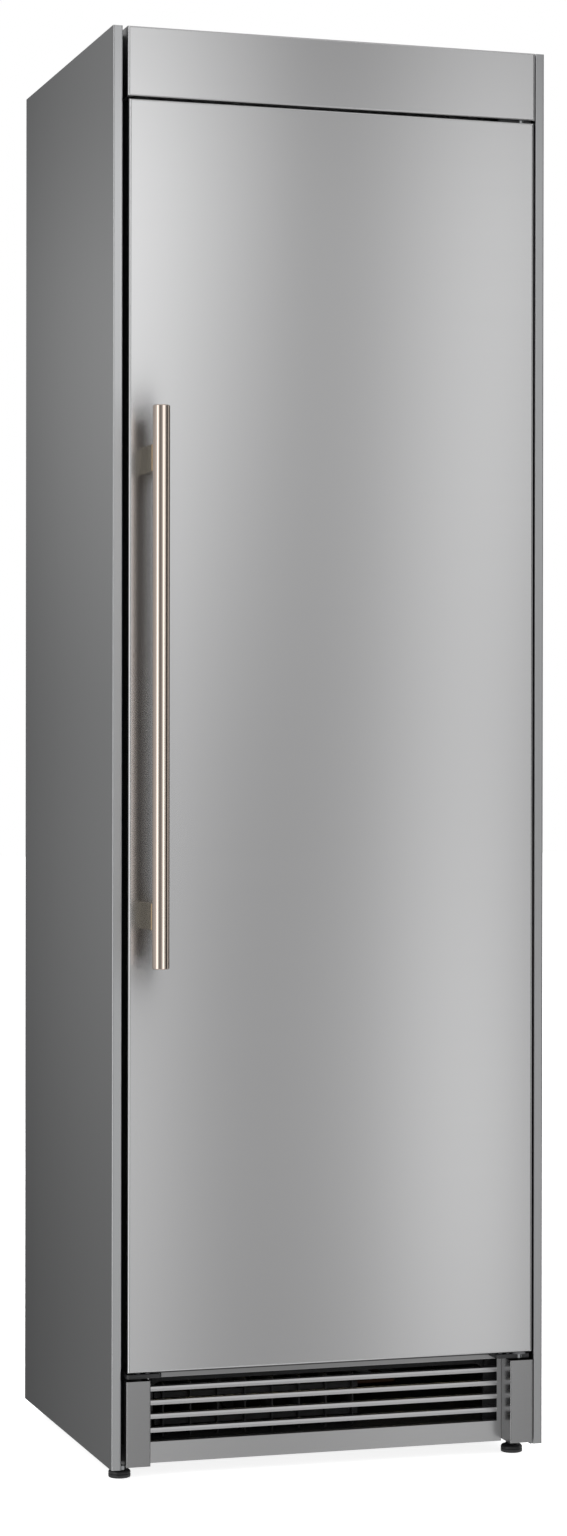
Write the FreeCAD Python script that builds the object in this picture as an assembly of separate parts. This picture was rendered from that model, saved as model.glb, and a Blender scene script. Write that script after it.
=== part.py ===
import FreeCAD, Part
import math
import os

os.makedirs("parts", exist_ok=True)

# A tall upright freezer column: steel cabinet, one hinged door with a bar handle, a plain
# panel above it and a set-back louvre below it.  Millimetres, +Z up, +X to the right of
# someone facing the door, the door towards -Y.  Depths below are measured from the side
# panels' front strips; the written pieces are shifted so that the origin is on the floor,
# midway between the sides and midway between the handle's front and the cabinet's back.

Vector = FreeCAD.Vector
X_AXIS = Vector(1, 0, 0)
Y_AXIS = Vector(0, 1, 0)
Z_AXIS = Vector(0, 0, 1)
ORIGIN = Vector(0, 0, 0)
TOUCH = 1e-6                      # two coordinates closer than this are the same
MITRED = 1                        # a swept pipe's sharp, mitred corners

# Small round parts that repeat or stay out of sight are made with this many flat sides.
round_sides = 36
small_sides = 12

# ---- cabinet shell ----
cabinet_width = 675.0
cabinet_height = 2134.0
cabinet_depth = 575.0             # front strips to back flanges
floor_clearance = 22.0            # floor to the side panels' lower edge
shell_sheet = 1.2
shell_bend = 1.0                  # inside radius of the shell's folds
strip_width = 14.6                # side panels' front strip
jamb_depth = 18.0                 # strip's return into the door recess
back_flange = 16.0
back_rib_width = 26.0             # pressed stiffening ribs of the back sheet
back_rib_count = 4
cover_flange = 20.0               # top cover's folded-down edges

# ---- door and fascia, in the recess between the side panels ----
door_proud = 12.0                 # door front ahead of the strips
door_side_gap = 7.0
door_floor_height = 165.0
door_thickness = 58.0
door_sheet = 1.0
door_bend = 3.0                   # outside radius of the door's edges
door_lip = 26.0                   # skin's folded top and bottom edges
skin_return = 40.0                # skin's folded side edges
fascia_height = 102.0
fascia_top_drop = 2.0             # fascia top below the side panels' top
fascia_side_gap = 5.0
fascia_door_gap = 4.0
seal_space = 11.0                 # door back to the cabinet's steel face

# ---- inner liner ----
wall_insulation = 51.5            # side panel to liner
back_insulation = 79.0
liner_wall = 3.0
liner_corner = 14.0               # inside radius of the edges that run front to back
seal_land = 32.0                  # steel face left round the liner's mouth, top and bottom
top_insulation = 68.0
floor_insulation = 62.0
hump_depth = 130.0                # raised floor over the compressor
hump_height = 195.0
hump_insulation = 55.0

# ---- door's inner side ----
door_liner_wall = 2.5
plug_depth = 12.0                 # liner's raised middle
plug_inset = 54.0                 # door edge to the raised middle
plug_corner = 16.0
dyke_depth = 52.0                 # upright ridges that carry the bins
dyke_width = 24.0
dyke_inset = 2.0
cap_height = 26.0
seal_inset = 14.0                 # door edge to the seal
seal_width = 12.0
seal_neck = 6.0
seal_layer = 3.0

# ---- hinge ----
pivot_edge_distance = 17.0        # pin axis to the door's side
pivot_front_distance = 13.0       # pin axis to the door's front
pin_radius = 6.0
pin_fit = 0.05                    # running clearance, radial
press_fit = 0.02                  # clearance of parts that don't turn
bush_wall = 2.5
bush_length = 24.0
bush_flange_wall = 4.0
bottom_leaf = 6.0
top_leaf = 3.0
leaf_width = 54.0
leaf_corner = 6.0
leaf_front_inset = 8.0            # leaf's front edge behind the door front
bracket_plate = 5.0
bottom_plate_height = 60.0
gusset_reach = 14.0
gusset_height = 20.0
pin_end_gap = 1.0                 # pin's end short of its bush's end
top_plate_height = 45.0
seat_gap = 0.3                    # running gap of faces that slide past each other

# ---- handle ----
handle_radius = 12.7
handle_length = 814.0
handle_middle_height = 1166.0
handle_edge_distance = 31.4       # bar axis to the door's side
handle_reach = 64.0               # bar axis to the door's front
handle_chamfer = 1.2
standoff_inset = 75.5             # stand-off centre to the bar's end
standoff_width = 26.0
standoff_height = 38.5
standoff_chamfer = 0.8
standoff_overlap = 6.0            # how far the stand-off's saddle wraps the bar

# ---- base ----
base_top = 51.5                   # floor to the bottom tray's upper face
base_skirt = 25.5                 # tray's folded-down edges
base_front = 40.0                 # strips to the tray's front edge
pillar_width = 36.5
pillar_height = 125.0
pillar_door_gap = 12.5
grille_setback = 39.0             # louvre plane behind the door front
grille_floor_gap = 24.0
grille_door_gap = 2.5
grille_sheet = 1.2
grille_return = 13.0
post_width = 7.0
kick_height = 31.0
top_bar_height = 12.5
slat_count = 4
slat_height = 6.6
slat_groove = 1.2                 # slat's hollow front
grille_side_gap = 0.3

# ---- feet and rollers ----
foot_inset = 27.0                 # side panel to foot axis
foot_setback = 59.0               # strips to foot axis
foot_radius = 16.5
foot_thickness = 11.5
foot_crown = 3.5                  # sloped top edge
foot_cone_height = 6.5
foot_cone_wide = 10.0
foot_stem_radius = 5.0
foot_stem_top = 41.0
foot_nut_half = 9.0               # half the weld nut's width
roller_radius = 18.0
roller_width = 14.0
roller_inset = 46.0               # side panel to roller middle
roller_back_inset = 55.0          # cabinet back to roller axle
axle_radius = 4.0
ear_sheet = 3.0
ear_half_width = 11.0
ear_bottom = 9.0                  # floor to the ears' lower ends

# ---- inside the freezer ----
shelf_heights = (818.0, 1200.0, 1582.0)
shelf_thickness = 5.0
shelf_lip = 14.0
shelf_front = 165.0
shelf_side_gap = 1.5
ledge_reach = 12.0
ledge_height = 8.0
ledge_edge = 2.0
drawer_bottom_heights = (214.0, 419.0, 624.0)
drawer_height = 165.0
drawer_side_gap = 18.0            # runner panel to the drawer's flange
drawer_front = 119.0              # strips to the drawers' fronts
drawer_wall = 3.0
drawer_corner = 18.0
drawer_flange = 13.0
drawer_back_gap = 5.0
pull_reach = 16.0                 # drawer's curled pull, ahead of its front
pull_half_width = 90.0
pull_drop = 12.0                  # rim to the pull
pull_rise = 4.0
pull_curl = 18.0
runner_thickness = 40.0
runner_ledge = 6.0
bin_floor_heights = (838.0, 1222.0, 1604.0)
bin_height = 112.0
bin_front_drop = 34.0             # bin's front wall below its ends
bin_sweep_share = 0.7             # where its low rim starts, as a share of its depth
bin_depth = 90.0
bin_wall = 3.0
bin_corner = 18.0
bin_side_gap = 0.5
lug_reach = 8.0
lug_height = 10.0
lug_depth = 40.0

# ---- cold-air parts ----
cover_setback = 88.0              # rear air wall ahead of the liner's back
cover_sheet = 2.0
cover_depth = 40.0
slot_width = 90.0
slot_height = 7.0
slot_pitch = 16.0
outlet_rows = 2
inlet_rows = 3
inlet_half = 180.0                # half the air intake slots' width
outlet_above_shelf = 170.0        # shelf to the first row of outlet slots
outlet_pitch = 110.0              # cabinet's middle to an outlet slot's middle
fan_height = 965.0
fan_radius = 58.0
fan_hub_radius = 16.0
fan_width = 20.0
fan_blades = 5
fan_pitch = 30.0                  # blade angle, degrees
blade_thickness = 2.0
shaft_radius = 3.0
motor_half = 24.0                 # half a fan motor's width
motor_length = 32.0
coil_height = 280.0
coil_fins = 8
coil_rows = 3
coil_side_gap = 60.0              # coil to the liner's sides
fin_thickness = 2.0
coil_tube = 8.0                   # flat tube's height
coil_tube_inset = 10.0            # flat tube's edges inside the fins'
coil_tube_reach = 10.0            # tube ends past the last fins

# ---- controls and lamp ----
housing_half_width = 110.0
housing_depth = 97.0
housing_height = 29.0
housing_front = 78.0
housing_slope = 8.0               # how far its underside rises to the back
housing_edge = 5.0
display_recess = 1.0
key_width = 20.0
key_height = 10.0
key_pitch = 32.0
key_columns = 3
key_proud = 1.5
key_travel = 1.0
key_body = 5.0
key_gap = 0.3
lens_half_width = 130.0
lens_depth = 50.0
lens_height = 12.0
lens_front = 185.0

# ---- machine compartment ----
compressor_side = 207.5           # side panel to the compressor's axis
compressor_setback = 113.0        # cabinet back to the compressor's axis
compressor_radius = 76.0
compressor_height = 172.0
shell_seam = 4.0                  # weld rim's reach
shell_seam_height = 6.0
shell_seam_share = 0.48           # rim's place up the shell
shell_foot_share = 0.7            # shell's foot radius against its own
shell_foot_rise = 22.0
shell_dome = 24.0
shell_dome_share = 0.6            # flat top's radius against the shell's
terminal_reach = 22.0
terminal_half_width = 24.0
terminal_low = 40.0
terminal_high = 96.0
mount_half = 12.0                 # half a rubber mount's width
mount_height = 14.0
mount_pitch_x = 190.0
mount_pitch_y = 130.0
foot_plate = 3.0
condenser_half_width = 150.0
condenser_offset = 220.0          # compressor's axis to the condenser's middle
condenser_front = 76.0
condenser_depth = 56.0
condenser_height = 80.0
condenser_fins = 8
condenser_rows = 2
condenser_fan_radius = 38.0
shroud_half_width = 46.0
shroud_sheet = 3.0
shroud_gap = 20.0                 # condenser to shroud plate
shroud_clearance = 3.0            # fan tip to the shroud's opening
motor_gap = 4.0                   # fan to its motor
motor_arm_height = 12.0
condenser_motor_half = 19.0
condenser_hub_radius = 12.0
condenser_fan_width = 16.0
pan_side_gap = 47.5
pan_compressor_gap = 150.0        # pan to the compressor's axis
pan_back_gap = 15.0
pan_depth = 180.0
pan_height = 34.0
pan_wall = 2.5
pan_corner = 12.0
drain_radius = 9.0
pipe_radius = 4.0
pipe_bend = 22.0                  # half a pipe's reach from the shell
discharge_height = 100.0          # compressor's foot plate to its pipes
service_slots = 4
service_slot_width = 72.0
service_slot_offsets = (-140.0, -40.0, 60.0)      # compressor's axis to the slots' left ends
service_slot_rise = 42.0          # base tray to the lowest slot
inlet_side = 107.5                # side panel to the inlet's middle
inlet_height = 150.0
inlet_half_width = 24.0
inlet_half_height = 14.0
inlet_flange_side = 6.0
inlet_flange_end = 4.0
inlet_body_depth = 26.0
socket_half_width = 12.0
socket_half_height = 8.0
socket_depth = 16.0
blade_places = ((-7.0, -2.0), (7.0, -2.0), (0.0, 3.0))
blade_half_width = 1.0
blade_half_height = 2.5
blade_inset = 3.0                 # blade tips behind the inlet's face
electronics_half_width = 125.0
electronics_depth = 150.0
electronics_height = 40.0
electronics_setback = 80.0
lid_rim = 3.0
lid_height = 10.0

# ---- places worked out from the sizes above ----
half_width = cabinet_width / 2
shell_inner = half_width - shell_sheet
strip_edge = half_width - strip_width
door_half = strip_edge - door_side_gap
fascia_half = strip_edge - fascia_side_gap
door_front = -door_proud
fascia_top = cabinet_height - fascia_top_drop
fascia_bottom = fascia_top - fascia_height
door_top = fascia_bottom - fascia_door_gap
door_back = door_front + door_thickness
face_front = door_back + seal_space
face_back = face_front + shell_sheet
back_inner = cabinet_depth - 2 * shell_sheet
liner_half = half_width - wall_insulation
liner_floor = door_floor_height + seal_land + liner_wall
liner_top = door_top - seal_land
liner_back = cabinet_depth - back_insulation
hump_front = liner_back - hump_depth
hump_top = liner_floor + hump_height
room_half = liner_half - liner_wall
room_floor = liner_floor + liner_wall
room_top = liner_top - liner_wall
room_back = liner_back - liner_wall
deck_height = liner_floor - floor_insulation
hump_deck = hump_top - hump_insulation
foam_top = liner_top + top_insulation
plug_half = door_half - plug_inset
plug_face = door_back + plug_depth
plug_bottom = door_floor_height + plug_inset
plug_top = door_top - plug_inset
skin_back = door_front + skin_return
pivot_x = door_half - pivot_edge_distance
pivot_y = door_front + pivot_front_distance
leaf_front = door_front + leaf_front_inset
leaf_outer = pivot_x + pivot_edge_distance
leaf_inner = leaf_outer - leaf_width
bottom_leaf_top = door_floor_height - bush_flange_wall
handle_x = -(door_half - handle_edge_distance)
handle_y = door_front - handle_reach
handle_bottom = handle_middle_height - handle_length / 2
handle_top = handle_middle_height + handle_length / 2
pillar_top = door_floor_height - pillar_door_gap
pillar_bottom = pillar_top - pillar_height
pillar_inner = fascia_half - pillar_width
plate_front = face_front - bracket_plate
grille_front = door_front + grille_setback
grille_half = pillar_inner - grille_side_gap
grille_top = door_floor_height - grille_door_gap
base_bottom = base_top - base_skirt
foot_x = half_width - foot_inset
roller_x = half_width - roller_inset
roller_y = cabinet_depth - roller_back_inset
runner_inner = room_half - runner_thickness
drawer_half_width = runner_inner - drawer_side_gap
cover_front = room_back - cover_setback
dyke_outer = plug_half - dyke_inset
dyke_inner = dyke_outer - dyke_width
dyke_face = plug_face + dyke_depth
coil_floor = hump_top + liner_wall + coil_tube_reach
fan_y = cover_front + fan_width
compressor_x = half_width - compressor_side
compressor_y = cabinet_depth - compressor_setback
condenser_x = compressor_x - condenser_offset
pan_left = pan_side_gap - half_width
pan_right = compressor_x - pan_compressor_gap
pan_back = cabinet_depth - pan_back_gap
pan_front = pan_back - pan_depth
drain_x = (pan_left + pan_right) / 2
inlet_x = inlet_side - half_width
middle_y = (handle_y - handle_radius + cabinet_depth) / 2


# ---- shaping helpers ----
def box(x0, x1, y0, y1, z0, z1):
    """Block between two corners."""
    return Part.makeBox(x1 - x0, y1 - y0, z1 - z0, Vector(x0, y0, z0))


def rod(start, direction, radius, length):
    """Round bar from a point along a direction."""
    return Part.makeCylinder(radius, length, start, direction)


def mirrored(shape):
    """The same piece for the other side of the cabinet."""
    return shape.mirror(ORIGIN, X_AXIS)


def edges_on(shape, axis, value):
    """Edges whose ends both lie at one coordinate: axis 0 is x, 1 is y, 2 is z."""
    return [edge for edge in shape.Edges
            if all(abs(vertex.Point[axis] - value) < TOUCH for vertex in edge.Vertexes)]


def edges_along(shape, axis):
    """Straight edges that run along one axis."""
    found = []
    for edge in shape.Edges:
        if len(edge.Vertexes) == 2 and isinstance(edge.Curve, Part.Line):
            if abs(abs(edge.Curve.Direction[axis]) - 1) < TOUCH:
                found.append(edge)
    return found


PLANES = {
    "xy": (lambda a, b, at: Vector(a, b, at), Z_AXIS),
    "xz": (lambda a, b, at: Vector(a, at, b), Y_AXIS),
    "yz": (lambda a, b, at: Vector(at, a, b), X_AXIS),
}


def outline(points, plane, at=0.0):
    """Closed wire through (a, b) or (a, b, radius) corners; a radius rounds its corner."""
    place = PLANES[plane][0]
    corners = [Vector(p[0], p[1], 0) for p in points]
    radii = [p[2] if len(p) > 2 else 0.0 for p in points]
    count = len(corners)
    legs = []
    for i, corner in enumerate(corners):
        if radii[i] <= 0:
            legs.append((corner, None, corner))
            continue
        back = (corners[i - 1] - corner).normalize()
        ahead = (corners[(i + 1) % count] - corner).normalize()
        half_angle = back.getAngle(ahead) / 2
        reach = radii[i] / math.tan(half_angle)
        bisector = (back + ahead).normalize()
        middle = corner + bisector * (radii[i] / math.sin(half_angle) - radii[i])
        legs.append((corner + back * reach, middle, corner + ahead * reach))
    edges = []
    for i, (start, middle, end) in enumerate(legs):
        if middle is not None:
            arc = [place(p.x, p.y, at) for p in (start, middle, end)]
            edges.append(Part.Arc(*arc).toShape())
        following = legs[(i + 1) % count][0]
        if end.distanceToPoint(following) > TOUCH:
            edges.append(Part.makeLine(place(end.x, end.y, at), place(following.x, following.y, at)))
    return Part.Wire(edges)


def prism(points, plane, start, end):
    """Outline pushed along its plane's normal from one coordinate to another."""
    return Part.Face(outline(points, plane, start)).extrude(PLANES[plane][1] * (end - start))


def bent_sheet(path, sheet, bend, plane, start, end):
    """Sheet along a path of (a, b) points, to the path's left; a bend of None leaves it sharp."""
    points = [Vector(a, b, 0) for a, b in path]
    ways = [(points[i + 1] - points[i]).normalize() for i in range(len(points) - 1)]
    lefts = [Vector(-way.y, way.x, 0) for way in ways]
    near = [(points[0].x, points[0].y)]
    first = points[0] + lefts[0] * sheet
    far = [(first.x, first.y)]
    for i in range(1, len(points) - 1):
        shift = (lefts[i - 1] + lefts[i]) * (sheet / (1 + lefts[i - 1].dot(lefts[i])))
        inside = points[i] + shift
        turns_left = ways[i - 1].cross(ways[i]).z > 0
        tight = 0.0 if bend is None else bend
        wide = 0.0 if bend is None else bend + sheet
        near.append((points[i].x, points[i].y, wide if turns_left else tight))
        far.append((inside.x, inside.y, tight if turns_left else wide))
    last = points[-1] + lefts[-1] * sheet
    near.append((points[-1].x, points[-1].y))
    far.append((last.x, last.y))
    return prism(near + far[::-1], plane, start, end)


def tray(x0, x1, y0, y1, z0, z1, bend):
    """Block whose front edges, at y0, are rounded like a folded sheet."""
    block = box(x0, x1, y0, y1, z0, z1)
    return block.makeFillet(bend, edges_on(block, 1, y0))


def folded_pan(x0, x1, y0, y1, z0, z1, sheet, bend):
    """Shallow folded pan: closed front at y0, four returns, open back at y1."""
    outer = tray(x0, x1, y0, y1, z0, z1, bend)
    inner = tray(x0 + sheet, x1 - sheet, y0 + sheet, y1 + sheet, z0 + sheet, z1 - sheet, bend - sheet)
    return outer.cut(inner)


def rounded_rectangle(x0, x1, y0, y1, radius):
    """Corner list of a rectangle with round corners."""
    return [(x0, y0, radius), (x1, y0, radius), (x1, y1, radius), (x0, y1, radius)]


def rounded_block(x0, x1, y0, y1, z0, z1, corner):
    """Block with round upright corners."""
    return prism(rounded_rectangle(x0, x1, y0, y1, corner), "xy", z0, z1)


def ring(radius, height, sides):
    """Level corners with equal sides about the upright axis, the first one repeated at the end."""
    turns = [2 * math.pi * i / sides for i in range(sides)]
    corners = [Vector(radius * math.cos(t), radius * math.sin(t), height) for t in turns]
    return corners + corners[:1]


def sided(profile, sides):
    """Upright solid about the origin with equal flat sides through (radius, height) rings."""
    rings = [ring(radius, height, sides) for radius, height in profile]
    wires = [rings[0], rings[-1]]
    for low, high in zip(rings, rings[1:]):
        for i in range(sides):
            wires.append([low[i], low[i + 1], high[i + 1], high[i], low[i]])
    solid = Part.Solid(Part.Shell([Part.Face(Part.makePolygon(wire)) for wire in wires]))
    if solid.Volume < 0:
        solid.reverse()
    return solid


def sided_bar(start, axis, radius, length, sides):
    """Straight bar with equal flat sides from a point along an axis."""
    bar = sided([(radius, 0.0), (radius, length)], sides)
    bar.Placement = FreeCAD.Placement(start, FreeCAD.Rotation(Z_AXIS, axis))
    return bar


def finned_coil(x0, x1, y0, y1, z0, z1, fins, rows):
    """Upright fins on flat tubes that run from side to side."""
    gap = (x1 - x0 - fin_thickness) / (fins - 1)
    parts = []
    for i in range(fins):
        left = x0 + i * gap
        parts.append(box(left, left + fin_thickness, y0, y1, z0, z1))
    for row in range(rows):
        height = z0 + (row + 0.5) * (z1 - z0) / rows
        parts.append(box(x0 - coil_tube_reach, x1 + coil_tube_reach, y0 + coil_tube_inset,
                         y1 - coil_tube_inset, height - coil_tube / 2, height + coil_tube / 2))
    return parts[0].multiFuse(parts[1:])


def fan_wheel(x, y, z, hub, tip, width, blades):
    """Axial fan about an axis along Y: a bored, sided hub and flat pitched blades."""
    chord = width / math.sin(math.radians(fan_pitch)) - 2 * blade_thickness
    across = chord * math.cos(math.radians(fan_pitch)) / 2
    length = math.sqrt(tip ** 2 - across ** 2) - blade_thickness
    wheel = [sided_bar(Vector(x, y - width / 2, z), Y_AXIS, hub, width, small_sides)]
    for i in range(blades):
        blade = box(-chord / 2, chord / 2, -blade_thickness / 2, blade_thickness / 2,
                    shaft_radius + blade_thickness, length)
        blade.rotate(ORIGIN, Z_AXIS, fan_pitch)
        blade.rotate(ORIGIN, Y_AXIS, i * 360.0 / blades)
        wheel.append(blade.translated(Vector(x, y, z)))
    bore = rod(Vector(x, y - width, z), Y_AXIS, shaft_radius + pin_fit, 2 * width)
    return wheel[0].multiFuse(wheel[1:]).cut(bore)


def pipe(points, radius):
    """Pipe with flat sides along straight runs with mitred corners."""
    edges = [Part.makeLine(points[i], points[i + 1]) for i in range(len(points) - 1)]
    section = Part.makePolygon(ring(radius, 0.0, small_sides))
    section.Placement = FreeCAD.Placement(points[0], FreeCAD.Rotation(Z_AXIS, points[1] - points[0]))
    return Part.Wire(edges).makePipeShell([section], True, False, MITRED)


# ---- cabinet shell ----
def side_panel():
    """Left side: back flange, side, front strip and its return, folded from one sheet."""
    path = [(-half_width + back_flange, cabinet_depth), (-half_width, cabinet_depth),
            (-half_width, 0.0), (-strip_edge, 0.0), (-strip_edge, jamb_depth)]
    return bent_sheet(path, shell_sheet, shell_bend, "xy", floor_clearance, cabinet_height)


def back_panel():
    """Back sheet behind the side panels' flanges, with upright ribs pressed outwards."""
    sheet_face = cabinet_depth - shell_sheet
    slope = shell_sheet
    half = shell_inner - shell_bend
    span = 2 * half / back_rib_count
    path = [(half, sheet_face)]
    for i in range(back_rib_count):
        middle = half - (i + 0.5) * span
        path.append((middle + back_rib_width / 2 + slope, sheet_face))
        path.append((middle + back_rib_width / 2, cabinet_depth))
        path.append((middle - back_rib_width / 2, cabinet_depth))
        path.append((middle - back_rib_width / 2 - slope, sheet_face))
    path.append((-half, sheet_face))
    return bent_sheet(path, shell_sheet, None, "xy", hump_deck, fascia_top)


def top_cover():
    """Top sheet with folded-down edges between the side panels."""
    low = fascia_top - cover_flange
    path = [(shell_inner, low), (shell_inner, fascia_top),
            (-shell_inner, fascia_top), (-shell_inner, low)]
    return bent_sheet(path, shell_sheet, shell_bend, "xz", face_back, back_inner)


def face_frame():
    """Steel face that the door seals against, with the liner's mouth and the air inlet."""
    frame = box(-shell_inner, shell_inner, face_front, face_back, base_top, fascia_top)
    mouth = prism(rounded_rectangle(-room_half, room_half, room_floor, room_top, liner_corner),
                  "xz", face_front, face_back)
    inlet = prism(rounded_rectangle(-leaf_inner, leaf_inner, base_top - liner_corner,
                                    deck_height, liner_corner), "xz", face_front, face_back)
    return frame.cut(mouth).cut(inlet)


def top_fascia():
    """Plain folded panel above the door, notched for the top hinge bracket."""
    pan = folded_pan(-fascia_half, fascia_half, door_front, face_front,
                     fascia_bottom, fascia_top, door_sheet, door_bend)
    notch = box(leaf_inner - seat_gap, leaf_outer + seat_gap, plate_front - seat_gap, face_front,
                fascia_bottom, fascia_bottom + door_sheet)
    return pan.cut(notch)


def liner_block(inset, front):
    """Liner's outside, or its inside when inset by the wall: stepped over the compressor."""
    half = liner_half - inset
    top = liner_top - inset
    step = hump_front - inset
    corner = liner_corner + liner_wall - inset
    tall = rounded_rectangle(-half, half, liner_floor + inset, top, corner)
    behind = [(-half, hump_top + inset), (half, hump_top + inset),
              (half, top, corner), (-half, top, corner)]
    return prism(tall, "xz", front, step).fuse(prism(behind, "xz", step, liner_back - inset))


def drain_place(height):
    """Point on the drain's axis."""
    return Vector(drain_x, room_back - 3 * drain_radius, height)


def cabinet_liner():
    """Moulded inner box: walls, shelf ledges and the drain spout."""
    liner = liner_block(0.0, face_back).cut(liner_block(liner_wall, face_back))
    for height in shelf_heights:
        for side in (-1, 1):
            outer = side * room_half
            inner = side * (room_half - ledge_reach)
            ledge = prism([(outer, height - 2 * ledge_height), (inner, height - ledge_height, ledge_edge),
                           (inner, height), (outer, height)], "xz", shelf_front, cover_front)
            liner = liner.fuse(ledge)
    spout_end = base_top + pan_height
    spout = sided_bar(drain_place(spout_end), Z_AXIS, drain_radius,
                      hump_top + liner_wall - spout_end, small_sides)
    bore = sided_bar(drain_place(base_top), Z_AXIS, drain_radius - liner_wall, hump_top, small_sides)
    return liner.fuse(spout).cut(bore)


def cabinet_insulation():
    """Foam between the shell and the liner."""
    points = [(face_back, deck_height), (hump_front - hump_insulation, deck_height),
              (hump_front - hump_insulation, hump_deck), (back_inner, hump_deck),
              (back_inner, foam_top), (face_back, foam_top)]
    foam = prism(points, "yz", -shell_inner, shell_inner)
    drain = drain_place(hump_deck)
    reach = drain_radius + press_fit
    duct = box(drain.x - reach, drain.x + reach, drain.y - reach, drain.y + reach,
               hump_deck, hump_top)
    return foam.cut(liner_block(0.0, face_back)).cut(duct)


# ---- base ----
def foot_hole(bottom, top, radius):
    """Upright round bar on a front foot's axis."""
    return rod(Vector(foot_x, foot_setback, bottom), Z_AXIS, radius, top - bottom)


def base_frame():
    """Bottom tray, open downwards, with the feet's weld nuts and the rollers' ears and axles."""
    frame = box(-shell_inner, shell_inner, base_front, back_inner, base_bottom, base_top)
    hollow = box(-shell_inner + shell_sheet, shell_inner - shell_sheet, base_front + shell_sheet,
                 back_inner - shell_sheet, base_bottom, base_top - shell_sheet)
    frame = frame.cut(hollow)
    nut = box(foot_x - foot_nut_half, foot_x + foot_nut_half, foot_setback - foot_nut_half,
              foot_setback + foot_nut_half, base_bottom, base_top - shell_sheet)
    ear_gap = roller_width / 2 + seat_gap
    fittings = [nut]
    for left in (roller_x - ear_gap - ear_sheet, roller_x + ear_gap):
        fittings.append(box(left, left + ear_sheet, roller_y - ear_half_width,
                            roller_y + ear_half_width, ear_bottom, base_top - shell_sheet))
    fittings.append(rod(Vector(roller_x - ear_gap, roller_y, roller_radius), X_AXIS,
                        axle_radius, 2 * ear_gap))
    frame = frame.multiFuse(fittings + [mirrored(piece) for piece in fittings])
    bore = foot_hole(base_bottom, base_top - 2 * shell_sheet, foot_stem_radius + pin_fit)
    return frame.cut(bore).cut(mirrored(bore))


def levelling_foot(x):
    """Round foot: pad with a sloped crown, cone and threaded stem."""
    cone_top = foot_thickness + foot_cone_height
    profile = [(foot_radius, 0.0), (foot_radius, foot_thickness - foot_crown),
               (foot_radius - foot_crown, foot_thickness), (foot_cone_wide, foot_thickness),
               (foot_stem_radius, cone_top), (foot_stem_radius, foot_stem_top)]
    return sided(profile, round_sides).translated(Vector(x, foot_setback, 0))


def roller(x):
    """Rear roller, bored for its axle."""
    start = Vector(x - roller_width / 2, roller_y, roller_radius)
    tread = sided_bar(start, X_AXIS, roller_radius, roller_width, round_sides)
    return tread.cut(rod(start, X_AXIS, axle_radius + pin_fit, roller_width))


def pillar_cover():
    """Right-hand folded cover below the door."""
    path = [(fascia_half, base_front), (fascia_half, door_front),
            (pillar_inner, door_front), (pillar_inner, base_front)]
    return bent_sheet(path[::-1], door_sheet, shell_bend, "xy", pillar_bottom, pillar_top)


def toe_grille():
    """Set-back louvre: folded frame, grooved slats and the plain bottom panel, one welded piece."""
    back = grille_front + grille_return
    window_bottom = grille_floor_gap + kick_height
    window_top = grille_top - top_bar_height
    window_half = grille_half - post_width
    frame = box(-grille_half, grille_half, grille_front, back, grille_floor_gap, grille_top)
    hollow = box(-grille_half + grille_sheet, grille_half - grille_sheet,
                 grille_front + grille_sheet, back, grille_floor_gap + grille_sheet,
                 grille_top - grille_sheet)
    window = box(-window_half, window_half, grille_front, back, window_bottom, window_top)
    frame = frame.cut(hollow).cut(window)
    opening = (window_top - window_bottom - slat_count * slat_height) / (slat_count + 1)
    lips = [box(-window_half, window_half, grille_front, back, low, low + grille_sheet)
            for low in (window_bottom - grille_sheet, window_top)]
    slats = []
    for i in range(slat_count):
        low = window_bottom + opening + i * (slat_height + opening)
        high = low + slat_height
        path = [(back - grille_sheet, high), (grille_front, high),
                (grille_front + slat_groove, (low + high) / 2),
                (grille_front, low), (back - grille_sheet, low)]
        slats.append(bent_sheet(path, grille_sheet, None, "yz",
                                -window_half - grille_sheet, window_half + grille_sheet))
    grille = frame.multiFuse(slats + lips)
    notch = box(leaf_inner - seat_gap, grille_half, grille_front, back,
                bottom_leaf_top - bottom_leaf - seat_gap, grille_top)
    return grille.cut(notch).cut(mirrored(notch))


# ---- hinges ----
def leaf_outline():
    """Hinge leaf seen from above: front corners rounded."""
    return [(leaf_inner, leaf_front, leaf_corner), (leaf_outer, leaf_front, leaf_corner),
            (leaf_outer, face_front), (leaf_inner, face_front)]


def pin_hole(bottom, top):
    """Round bar on the door's pivot, as wide as a pin's hole in its leaf."""
    return rod(Vector(pivot_x, pivot_y, bottom), Z_AXIS, pin_radius + press_fit, top - bottom)


def bottom_bracket():
    """Folded bracket under the door's corner: leaf on top of an upright plate."""
    low = bottom_leaf_top - bottom_leaf
    leaf = prism(leaf_outline(), "xy", low, bottom_leaf_top)
    plate = box(leaf_inner, leaf_outer, plate_front, face_front, low - bottom_plate_height, low)
    gusset = prism([(plate_front, low), (plate_front - gusset_reach, low),
                    (plate_front, low - gusset_height)],
                   "yz", leaf_inner, leaf_inner + bracket_plate)
    return leaf.multiFuse([plate, gusset])


def top_bracket():
    """Folded bracket over the door's corner, screwed to the face behind the fascia."""
    high = fascia_bottom - seat_gap
    leaf = prism(leaf_outline(), "xy", high - top_leaf, high)
    plate = box(leaf_inner, leaf_outer, plate_front, face_front, high, high + top_plate_height)
    return leaf.fuse(plate).cut(pin_hole(high - top_leaf, high))


def hinge_pins():
    """Bottom pin up into the door and top pin down into it."""
    low = bottom_leaf_top - bottom_leaf
    high = fascia_bottom - seat_gap
    bottom = rod(Vector(pivot_x, pivot_y, low), Z_AXIS, pin_radius,
                 bottom_leaf + bush_flange_wall + bush_length - pin_end_gap)
    top_start = door_top - bush_length + pin_end_gap
    top = rod(Vector(pivot_x, pivot_y, top_start), Z_AXIS, pin_radius, high - top_start)
    return Part.makeCompound([bottom, top])


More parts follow.
